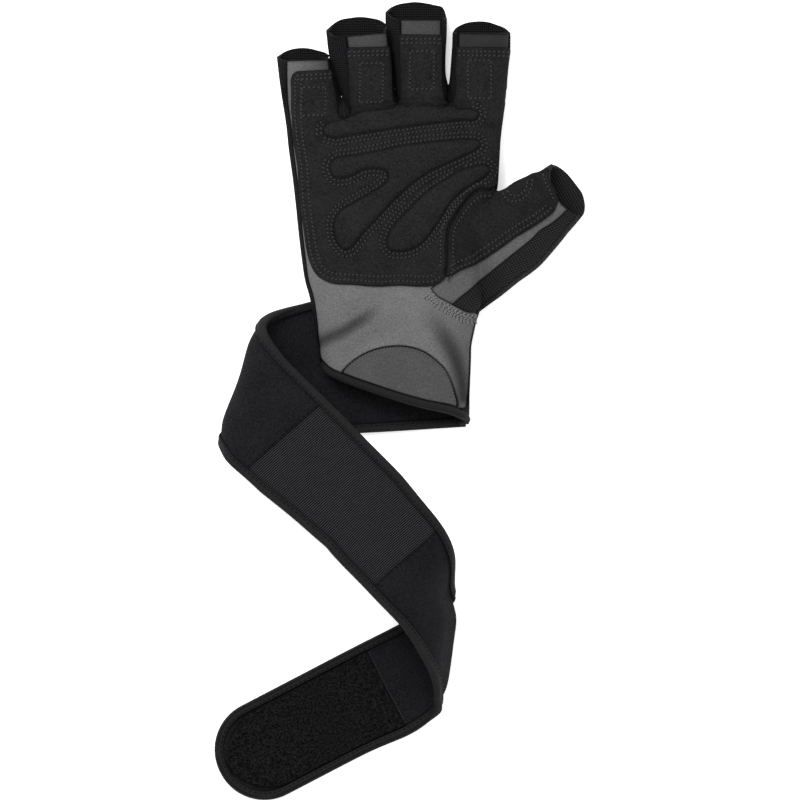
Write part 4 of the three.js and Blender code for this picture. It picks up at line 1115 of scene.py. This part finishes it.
root_corner = strap_plan(STRAP_ROOT - 0.6, ROOT_HALF * STRAP_WIDTH + GAP)
side_corner = strap_plan(2.0, ROOT_HALF * STRAP_WIDTH + GAP)
outer_of = {name: lines[0] for name, lines in wall_plan.items()}
arcs = {name: curve(line, STEP) for name, line in ARCS.items()}
little_outer = cut(outer_of["little_finger_side"], lambda p: p[:, 1] > side_corner[1])
seam_start = outer_of["index_finger_side"][-1]
back_outline = path(
    little_outer[::-1], arcs["little"], outer_of["fourchette_little_ring"], arcs["ring"],
    outer_of["fourchette_ring_middle"], arcs["middle"], outer_of["fourchette_middle_index"], arcs["index"],
    outer_of["index_finger_side"], curve([seam_start, root_corner], STEP)[1:],
    curve([root_corner, [little_outer[-1, 0] + 0.3, side_corner[1]]], STEP)[1:],
)
back_sides = [little_outer[::-1], outer_of["fourchette_little_ring"], outer_of["fourchette_ring_middle"],
              outer_of["fourchette_middle_index"], outer_of["index_finger_side"]]
make_piece("back_panel", *bottom(back_outline, back_sides), "knit", "back_panel", "back_knit")

# %% [markdown]
# ## Back of the thumb
# The black mesh of the thumb is one piece of four parts: a strip that shows beside the grey, a wall on
# each side and the flat underside.

# %% Back of the thumb
mesh_top = path(grey_edge, curve(THUMB_END[4:], STEP), edge_of("thumb_wrist_side")[::-1],
                curve([edge_of("thumb_wrist_side")[0], thumb_tip[-1]], STEP)[1:-1])
thumb_back_outline = path(
    outer_of["thumb_crotch_side"], arcs["thumb"], outer_of["thumb_wrist_side"],
    curve([outer_of["thumb_wrist_side"][-1], root_corner + (0.8, 1.0)], STEP)[1:],
    curve([root_corner + (0.3, 0.6), seam_start + (0.4, 0)], STEP)[1:-1],
)
thumb_sides = [outer_of["thumb_crotch_side"], outer_of["thumb_wrist_side"]]
make_piece("thumb_back", *join([
    lay(mesh_top, -1.6, 0.1, 0.9),
    wall_part("thumb_crotch_side", 20.0),
    wall_part("thumb_wrist_side", 20.0),
    bottom(thumb_back_outline, thumb_sides),
]), "mesh", "thumb_back", "thumb_mesh")

# %% [markdown]
# ## Cuff binding
# A dark tape is folded over the palm's edge at the cuff. Its profile, a flat loop round the edge, is
# carried along the edge: over the palm side from one side of the wrist to the other, and down both.


# %% Binding of the cuff
def carry(line, normal, profile):
    """A profile of (across, up) points carried along a line. up is the line's normal, and across the
    cross product of the line's direction and that normal."""
    ahead = unit(np.gradient(line, axis=0))
    normal = unit(normal - (normal * ahead).sum(1)[:, None] * ahead)
    across = np.cross(ahead, normal)
    points = line[:, None] + profile[:, 0, None] * across[:, None] + profile[:, 1, None] * normal[:, None]
    return hose(points, line, profile)


def band_profile(width, thick, steps=5):
    """A flat bar with round edges: across from 0 to width, up from -thick / 2 to thick / 2."""
    r = thick / 2
    a = np.linspace(-np.pi / 2, np.pi / 2, steps)
    right = np.stack([width - r + r * np.cos(a), r * np.sin(a)], axis=1)
    left = np.stack([r - r * np.cos(a), -r * np.sin(a)], axis=1)
    return np.concatenate([right, left])


CUFF_WIDTH, CUFF_THICK, MOUTH_SLANT = 4.2, 3.6, 4.4
MOUTH_ENDS = (-0.28, 1.16)  # how far round the mouth the tape goes, in half turns
UNDER_DEPTH, UNDER_ROUND = 4.5, 1.2  # the mouth's shape below the corner height
TAPE_FLOOR = 3.6  # the tape stops at this height above the floor
theta = np.linspace(*MOUTH_ENDS, 90)[::-1] * np.pi
edge_points = path(CUFF_EDGE)
order = np.argsort(edge_points[:, 0])
cuff_low, cuff_high, cuff_depth = -0.362 * PALM_WIDTH, 0.321 * PALM_WIDTH, 0.79 * PALM_DEPTH
cuff_half, cuff_mid = (cuff_high - cuff_low) / 2, (cuff_high + cuff_low) / 2
c, s = np.cos(theta), np.sin(theta)
around_x = cuff_mid + cuff_half * np.sign(c) * np.abs(c) ** (2 / ROUNDNESS)
above = CORNER + (cuff_depth - CORNER) * np.abs(s) ** (2 / ROUNDNESS)
around_z = np.where(s > 0, above, CORNER - UNDER_DEPTH * np.abs(s) ** UNDER_ROUND)
around_y = np.interp(around_x, edge_points[order, 0], edge_points[order, 1])
level = np.clip((cuff_depth - around_z) / (cuff_depth - 4), 0, 1)
around_y -= np.where(c > 0, MOUTH_SLANT * level ** 2.2, 0)
cuff_line = curve(np.column_stack([around_x, around_y, around_z])[around_z > TAPE_FLOOR], STEP)
cuff_normal = unit(np.column_stack([
    (cuff_line[:, 0] - cuff_mid) / cuff_half ** 2, 0 * cuff_line[:, 0],
    np.maximum(cuff_line[:, 2] - CORNER, 0) / (cuff_depth - CORNER) ** 2 * 1.2 + 1e-4,
]))
cuff_part = carry(cuff_line - 1.0 * cuff_normal, cuff_normal, band_profile(CUFF_WIDTH, CUFF_THICK))
make_piece("cuff_binding", *cuff_part, "tape", "cuff_binding", "binding_tape")

# %% [markdown]
# ## Wrist strap
# The strap is cut flat and then rolled. Its pattern is a table of half widths, and four rounded bends
# roll it back on itself. A bend is an isometry: beyond its start line the cloth goes round a cylinder,
# and past the cylinder it runs on straight. The bends are applied from the far end to the root. At the
# corners the cloth then gives by a few millimetres in plan, which is the only stretch in it.

# %% Strap pattern and bends
STRAP_LENGTH = 441.2
STRAP_END = STRAP_ROOT + STRAP_LENGTH
BAND, BIND_WIDTH, BIND_THICK, CHANNEL = 2.0, 4.2, 0.7, 0.4
STACK = BAND + 2 * CHANNEL + 2 * BIND_THICK
ELASTIC_START, ELASTIC_LENGTH, HOOK_LENGTH = 1.77 * STRAP_WIDTH, 82.0, 91.0
TIP_ROUND = 24.2
STRAP_STEP = 1.2
PATTERN = np.array([
    (-1.5, ROOT_HALF, 0.961), (0, ROOT_HALF, 0.961), (0.55, 0.267, 0.959), (1.2, 0.244, 0.91),
    (2, 0.306, 0.802), (2.8, 0.342, 0.638), (9, 0.342, 0.638),
])
# start along the strap and radius, as shares of its width, with tilt and turn in degrees between them
BENDS = [
    (0.238, 26.15, 0.297, 174.61), (3.238, 36.31, 0.507, 48.5), (3.854, 40.53, 0.565, 26.22),
    (4.534, 37.98, 0.1, 111.18),
]
# place in plan of a spot where the cloth gives, its size, and how far it gives
PULLS = [
    (-73.5, -71, 8.8, -1.71, 2.45), (-53.9, -49, 7.8, 1.37, -0.05), (-92.6, -119.6, 6.4, 3.67, -0.44),
    (-80.8, -142.1, 7.8, 1.08, -0.1), (-36.8, -173.9, 13.7, 0.24, -2.55), (0, -129.8, 12.7, 1.18, -0.24),
    (31.4, -187.2, 11.8, -4.17, -1.91), (29.9, -192.1, 6.4, -2.21, 0), (26.9, -215.6, 8.8, -0.49, 1.91),
    (7.3, -264.6, 10.8, 1.18, -1.67), (19.6, -250.9, 6.9, -1.08, 0.39), (21.6, -246, 3.4, -1.47, 0),
    (-2.5, -210.7, 9.8, 1.18, 0.2),
]
SETTLE = 1.35  # how far its far part is lifted
ROOT_X, ROOT_ROUND = 33.4, 3.0


def strap_half(s):
    """Half widths above and below the middle line, at a length along the strap."""
    place = s / STRAP_WIDTH
    return [np.interp(place, PATTERN[:, 0], PATTERN[:, i]) * STRAP_WIDTH for i in (1, 2)]


def root_trim(s, v):
    """How far a place near the root moves on along the strap: the end stands square to the cuff's mouth,
    with its lower corner rounded, and the move dies away over the next few millimetres."""
    slant = (ROOT_X - STRAP_ORIGIN[0] - v * strap_up[0]) / strap_down[0] - STRAP_ROOT
    corner = np.clip((-v - (strap_half(STRAP_ROOT)[1] - 1 - ROOT_ROUND)) / ROOT_ROUND, 0, 1)
    trim = np.maximum(slant, 0) + ROOT_ROUND * (1 - np.sqrt(1 - corner ** 2))
    return s + trim * np.exp((STRAP_ROOT - s) / 5)


def rolled(s, v, lift):
    """Flat places carried through the bends: at a bend of radius r, a point that lies q beyond its line
    goes to ((r - h) sin a + rest cos a, r - (r - h) cos a + rest sin a), with a = q / r up to the turn."""
    s, v, lift = np.broadcast_arrays(*(np.asarray(k, float) for k in (s, v, lift)))
    shape = s.shape
    flat = strap_plan(s.ravel(), 0 * v.ravel()) + v.ravel()[:, None] * strap_up
    point = np.column_stack([flat, lift.ravel()])
    for start, tilt, radius, turn in BENDS[::-1]:
        origin = strap_plan(start * STRAP_WIDTH, 0.0)
        tilt, turn, radius = np.radians(tilt) - STRAP_HEADING, np.radians(turn), radius * STRAP_WIDTH
        along = np.array([-np.cos(tilt), np.sin(tilt)])
        off = np.array([np.sin(tilt), np.cos(tilt)])
        reach = (flat - origin) @ along
        now = point[:, :2] - origin
        rest = np.where(reach >= radius * turn, now @ along - radius * turn, 0)
        angle = np.clip(reach / radius, 0, turn)
        run = (radius - point[:, 2]) * np.sin(angle) + rest * np.cos(angle)
        rise = radius - (radius - point[:, 2]) * np.cos(angle) + rest * np.sin(angle)
        bent = np.column_stack([origin + run[:, None] * along + (now @ off)[:, None] * off, rise])
        point = np.where((reach > 0)[:, None], bent, point)
    plan = point[:, :2].copy()  # every pull acts on the plan before them
    for x, y, size, dx, dy in PULLS:
        near = np.exp(-((plan - (x, y)) ** 2).sum(1) / (2 * size ** 2))
        point[:, :2] += near[:, None] * (dx, dy)
    point[:, 2] += STACK / 2 + SETTLE * ease(s.ravel(), 3.2 * STRAP_WIDTH, 4.6 * STRAP_WIDTH)
    return point.reshape(*shape, 3)


print("strap:", STRAP_LENGTH, "mm long,", len(BENDS), "bends")

# %% [markdown]
# ## Strap pieces
# The strap is three stretches of one pattern, with the elastic lapped over its neighbours, and the hook
# patch on its end. Each is a grid of flat places whose two faces go through the bends.


# %% Strap pieces
def strap_edges(s, inset):
    """Upper and lower edge at a length along the strap, drawn in by inset, with its round tip."""
    late = np.clip((s - (STRAP_END - inset - TIP_ROUND)) / TIP_ROUND, 0, 1)
    draw = TIP_ROUND * (1 - np.sqrt(1 - late ** 2))
    upper, lower = strap_half(s)
    return upper - inset - draw, -lower + inset + draw


def strap_piece(start, end, inset, low, high, pitch):
    """A flat stretch of the strap as a closed sheet through the bends, its faces at low and high. Its
    places crowd together towards a round tip. Painted shade darkens it along the binding's inner edge and at
    its two ends."""
    s = np.arange(start, end, pitch)
    if abs(end - (STRAP_END - inset)) < 1e-6:
        turn = np.linspace(0, np.pi / 2, 30)
        s = np.concatenate([s[s < end - TIP_ROUND], end - TIP_ROUND * (1 - np.sin(turn))])
    else:
        s = np.append(s, end)
    upper, lower = strap_edges(s, inset)
    share = np.linspace(0, 1, int(50 / pitch))
    v = upper[:, None] + share * (lower - upper)[:, None]
    ss = root_trim(np.broadcast_to(s[:, None], v.shape), v)
    # painted shade: a dark line where the binding's inner edge steps onto the cloth, and one at each end
    edge = np.minimum(upper[:, None] - v, v - lower[:, None]) + inset - BIND_WIDTH
    ends = np.minimum(ss - start, end - ss)
    dark = 0.8 * np.exp(-(edge / 0.9) ** 2) + 0.5 * np.exp(-(ends / 0.6) ** 2)
    top, under = (rolled(ss, v, lift).reshape(-1, 3) for lift in (high, low))
    cloth = np.stack([ss, v, dark], axis=2).reshape(-1, 3)
    return closed_sheet(top, under, grid_quads(*v.shape)[:, ::-1], cloth)


inset = BIND_THICK + CHANNEL
elastic_end = ELASTIC_START + ELASTIC_LENGTH
LAP = 0.8
STRAP_PARTS = [  # name, start, end, its two faces, finish, slot
    ("strap_band", STRAP_ROOT, ELASTIC_START, -1, 1, "neoprene", "strap_neoprene"),
    ("elastic_panel", ELASTIC_START - LAP, elastic_end + LAP, -1.1, 1.25, "elastic", "ribbed_elastic"),
    ("strap_tongue", elastic_end, STRAP_END - inset, -1, 1, "neoprene", "strap_neoprene"),
]
for name, start, end, low, high, finish, slot in STRAP_PARTS:
    piece = make_piece(name, *strap_piece(start, end, inset, low, high, STRAP_STEP), finish, name, slot)
    stretch = np.linspace(start, end, 400)
    upper, lower = strap_edges(stretch, inset)
    wide, long = (upper - lower).max() * MM, (end - start) * MM
    area = (upper - lower).mean() * MM * long
    print(f"{name}: cut {wide * 1000:.1f} by {long * 1000:.1f} mm, {area * 1e4:.1f} square cm")
HOOK_FACES, HOOK_STEP = (1.2, 2.3), 0.7
hook_inset = BIND_WIDTH + 0.6
hook = strap_piece(STRAP_END - HOOK_LENGTH, STRAP_END - hook_inset, hook_inset, *HOOK_FACES, HOOK_STEP)
make_piece("hook_patch", *hook, "hook", "hook_patch", "hook_fastener")

# %% [markdown]
# ## Strap binding
# A tape is folded round the strap's edge: along the upper side, round the tip and back. Its profile is a
# channel with a round back and two legs, and every point of it goes through the same bends as the cloth.


# %% Strap binding
def strap_rim():
    """The strap's edge as flat places and inward directions: along the upper side, round the tip and
    back."""
    s = np.arange(STRAP_ROOT, STRAP_END - TIP_ROUND, STRAP_STEP)
    turn = np.linspace(0, np.pi / 2, 24)[1:]
    upper, lower = strap_half(s)
    tip_s = STRAP_END - TIP_ROUND * (1 - np.sin(turn))
    tip_up, tip_low = strap_half(STRAP_END + 0 * turn)
    draw = TIP_ROUND * (1 - np.cos(turn))
    a = np.column_stack([np.append(s, tip_s), np.append(upper, tip_up - draw)])
    b = np.column_stack([np.append(s, tip_s), np.append(-lower, -tip_low + draw)])[::-1]
    line = np.concatenate([a, b])
    line[:, 0] = root_trim(line[:, 0], np.maximum(line[:, 1], 1.6 - strap_half(STRAP_ROOT)[1]))
    return line, -left(unit(np.gradient(line, axis=0)))


rim_line, rim_in = strap_rim()
half_stack = STACK / 2
BACK_ROUND, LEG_START, CHAMFER = 0.9, 1.2, 0.3
bow = np.linspace(-np.pi / 2, np.pi / 2, 7)
outer_round = np.stack([BACK_ROUND - BACK_ROUND * np.cos(bow), half_stack * np.sin(bow)], axis=1)
leg = half_stack - BIND_THICK
channel = np.concatenate([outer_round[::-1], [
    (BACK_ROUND + LEG_START, -half_stack), (BIND_WIDTH - CHAMFER, -half_stack),
    (BIND_WIDTH, -half_stack + CHAMFER), (BIND_WIDTH, -leg), (BIND_THICK, -leg), (BIND_THICK, leg),
    (BIND_WIDTH, leg), (BIND_WIDTH, half_stack - CHAMFER), (BIND_WIDTH - CHAMFER, half_stack),
    (BACK_ROUND + LEG_START, half_stack),
]])
place = rim_line[:, None] + channel[None, :, :1] * rim_in[:, None]
bound = rolled(place[..., 0], place[..., 1], np.broadcast_to(channel[:, 1], place.shape[:2]))
make_piece("strap_binding", *hose(bound, rim_line, channel), "tape", "strap_binding", "binding_tape")

# %% [markdown]
# ## Stitches
# Each stitch is a short thread that dips into the cloth at both ends: a capsule of a few dozen faces.
# A row of them follows a line on the skin or on the strap. On the skin, short dark capsules between the
# threads paint the shade in the needle holes.


# %% Stitches
SIDES = 5
THREAD_RINGS, HOLE_RINGS = (0, 0.12, 0.5, 0.88, 1), (0, 0.5, 1)


def capsules(start, end, up, radius, arch, share=THREAD_RINGS):
    """One thread for each start and end: rings of points along it, thick in the middle and closed at both
    ends, and lifted in an arch by a share of its length."""
    share = np.array(share, float)
    width = radius * np.clip(np.sqrt(1 - (2 * share - 1) ** 2) * 1.25, 0.3, 1)
    ahead = end - start
    length = np.linalg.norm(ahead, axis=1)[:, None]
    ahead = ahead / np.maximum(length, 1e-9)
    up = unit(up - (up * ahead).sum(1)[:, None] * ahead)
    side = np.cross(ahead, up)
    t = np.linspace(0, 2 * np.pi, SIDES, endpoint=False)
    centre = start[:, None] + share[:, None] * (end - start)[:, None]
    centre = centre + (arch * 4 * share * (1 - share))[:, None] * length[:, None] * up[:, None]
    ring = np.cos(t)[:, None] * side[:, None, None] + np.sin(t)[:, None] * up[:, None, None]
    points = centre[:, :, None] + width[:, None, None] * ring
    count, rings = len(start), len(share)
    base = np.arange(count)[:, None, None] * rings * SIDES
    quads = (base + grid_quads(rings, SIDES, True)[None]).reshape(-1, 4)
    first = np.arange(SIDES)[None]
    caps = np.concatenate([base[:, 0] + first, base[:, 0] + (rings - 1) * SIDES + first[:, ::-1]])
    return points.reshape(-1, 3), [quads, caps], np.zeros((count * rings * SIDES, 3))


PITCH, LEAN = 2.0, 0.45


def row_on_skin(line, pitch, height, radius=0.42, lean=LEAN, stray=0.07):
    """Stitches along a plan line, on the skin raised by height: the threads, and between them dark capsules
    that paint the shade in the needle holes.
    Each leans a little to its row, and strays from it by a random amount."""
    line = curve(line, pitch)
    step = line[1:] - line[:-1]
    made = []
    line = line + np.random.default_rng(len(line)).normal(0, stray, line.shape)
    for centre, half, size, sunk, rings in (
        ((line[1:] + line[:-1]) / 2, 0.3, radius, 0.0, THREAD_RINGS),
        # dark sunk capsules between the threads: painted shade of the needle holes
        (line[1:-1], 0.13, radius * 1.1, 0.2, HOLE_RINGS),
    ):
        reach = step[: len(centre)] * half
        reach = reach + lean * left(reach)
        ends = []
        for xy in (centre - reach, centre + reach):
            base, normal = skin_frame(xy)
            up = height(xy) if callable(height) else np.full(len(xy), height)
            ends.append(base + normal * (up - sunk)[:, None])
        made.append(capsules(*ends, normal, size, 0.06, rings))
    return made


def sew(name, rows, thread, slot):
    """Rows of stitches as two pieces: their threads, and dark capsules that paint the shade in their needle
    holes.
    """
    make_piece(name, *join([row[0] for row in rows]), thread, None, slot)
    make_piece(name + "_hole_shades", *join([row[1] for row in rows]), "hole", None, slot)


print("a stitch every", PITCH, "mm")

# %% [markdown]
# ## Stitches of the suede
# Two rows run outside each pad, where they don't come too near a row that is already laid. Others follow
# the overlay's edges, a box on each finger, and two arcs round the patch in the thumb's crotch.

# %% Stitches of the suede
rows, laid, ROW_GAP, LONG_STEP = [], [seam], 1.5, 3
for k, line in enumerate(pad_lines):
    around = np.concatenate([line, line[:1]])
    rows_of_pad = []
    for distance in PAD_ROWS:
        moved = shift(around, distance if clockwise(line) else -distance)
        moved = moved[nearest(moved, line)[0] > 0.93 * distance]
        gap = np.linalg.norm(moved[:, None] - np.concatenate(laid), axis=2).min(1)
        moved = moved[gap > ROW_GAP]
        rows_of_pad.append(moved)
        if k == 0:
            crown = np.array(PAD_CROWN)
            above = moved[:, 1] > np.interp(moved[:, 0], *crown.T)
            moved = moved[~(above & (moved[:, 0] > crown[0, 0]) & (moved[:, 0] < crown[-1, 0]))]
        steps = np.linalg.norm(np.diff(moved, axis=0), axis=1)
        pieces = np.split(moved, np.where(steps > LONG_STEP)[0] + 1)
        rows += [row_on_skin(piece, PITCH, overlay_height) for piece in pieces if len(piece) > 4]
    laid += rows_of_pad

# left, low, right and high side of the box on each finger
FINGER_BOXES = [
    (-47.5, 41.2, -36.8, 54.9), (-19.1, 47.5, -8.8, 66.6),
    (5.4, 53.9, 16.2, 72.5), (33.8, 49.5, 44.1, 68.1),
]
edge_rows = [shift(side_edge[3:-2], distance) for distance in (2.4, 5.0)]
edge_rows += [shift(line, distance) for line in tops.values() for distance in (2.2, 4.2)]
for x0, y0, x1, y1 in FINGER_BOXES:
    corners = np.array([(x0, y0), (x0, y1), (x1, y1), (x1, y0), (x0, y0)])
    edge_rows += [corners[k:k + 2] for k in range(4)]
edge_rows.append(shift(seam[6:-14], -3.0))
rows += [row_on_skin(line, PITCH, overlay_height) for line in edge_rows]
for distance in (-2.0, -4.6):
    rows.append(row_on_skin(shift(thumb_suede, distance)[3:-3], PITCH, GAP + SUEDE))
rows.append(row_on_skin(shift(seam[4:-8], 3.0), PITCH, GAP + SUEDE))
rows.append(row_on_skin(shift(thumb_tip[1:-8], -2.4), PITCH, GAP + SUEDE))
turn = np.linspace(-0.15, 1.15, 24) * np.pi
patch = np.column_stack([-np.cos(turn) * 0.9 - np.sin(turn) * 0.3, -np.sin(turn)])
for radius in (5.2, 7.6):
    arc = THUMB_PATCH + radius * patch
    kept = inside(arc, thumb_overlay_outline) & (nearest(arc, thumb_overlay_outline)[0] > 0.8)
    rows.append(row_on_skin(arc[kept], PITCH, GAP + SUEDE))
sew("suede_stitches", rows, "thread", "black_suede")

# %% [markdown]
# ## Stitches of the grey panels
# One fine row follows the half moon, and a pale overlock of four crossing rows the end of the thumb's
# seam, straying more than the others.

# %% Stitches of the grey panels
sew("moon_stitches", [row_on_skin(shift(moon, -0.9)[2:-2], 1.6, -0.1, 0.26, 0.8)], "dull_thread",
    "grey_microfibre")
grey_rows = [row_on_skin(shift(seam_end, d), 1.8, 0.0, 0.42, lean, 0.35) for d, lean in (
    (-1.2, 0.9), (-2.5, -0.9), (-3.8, 0.9), (-5.1, -0.9))]
sew("grey_stitches", grey_rows, "pale_thread", "grey_microfibre")


# %% [markdown]
# ## Strap stitches
# Dark rows run along both faces of the binding and across the ends of the elastic. Lighter ones hold the
# elastic's laps and the hook patch.


# %% Strap stitches
def row_on_strap(places, pitch, lift, radius=0.3):
    """Stitches along a line of flat places of the strap, on the face at that lift."""
    line = curve(places, pitch)
    mid, half = (line[1:] + line[:-1]) / 2, (line[1:] - line[:-1]) * 0.33
    a, b = mid - half, mid + half
    start, end = rolled(a[:, 0], a[:, 1], lift), rolled(b[:, 0], b[:, 1], lift)
    up = rolled(mid[:, 0], mid[:, 1], lift + np.sign(lift)) - rolled(mid[:, 0], mid[:, 1], lift)
    return capsules(start, end, up, radius, 0.05)


def row_across(s, margin, pitch, lift, radius=0.3):
    """Stitches across the strap at a length along it, up to a margin from both edges."""
    upper, lower = strap_edges(np.array([s]), margin)
    return row_on_strap([(s, upper[0]), (s, lower[0])], pitch, lift, radius)


STRAP_PITCH, FACES = 2.5, (1, -1)
stitch_line = rim_line + 3.3 * rim_in
strap_rows = [row_on_strap(stitch_line, STRAP_PITCH, side * (half_stack - 0.05)) for side in FACES]
strap_rows += [row_across(s, 5, STRAP_PITCH, side * 1.05)
               for s in (ELASTIC_START - 1.6, elastic_end + 1.6) for side in FACES]
make_piece("strap_stitches", *join(strap_rows), "dark_thread", None, "binding_tape")
pale_rows = [row_across(s, margin, 1.3, face, 0.35) for s, margin, face in (
    (ELASTIC_START - 0.4, 4.6, 1.3), (elastic_end + 0.4, 4.6, 1.3),
    (STRAP_END - HOOK_LENGTH - 0.6, 5.5, 1.1),
)]
make_piece("edge_stitches", *join(pale_rows), "thread", None, "ribbed_elastic")
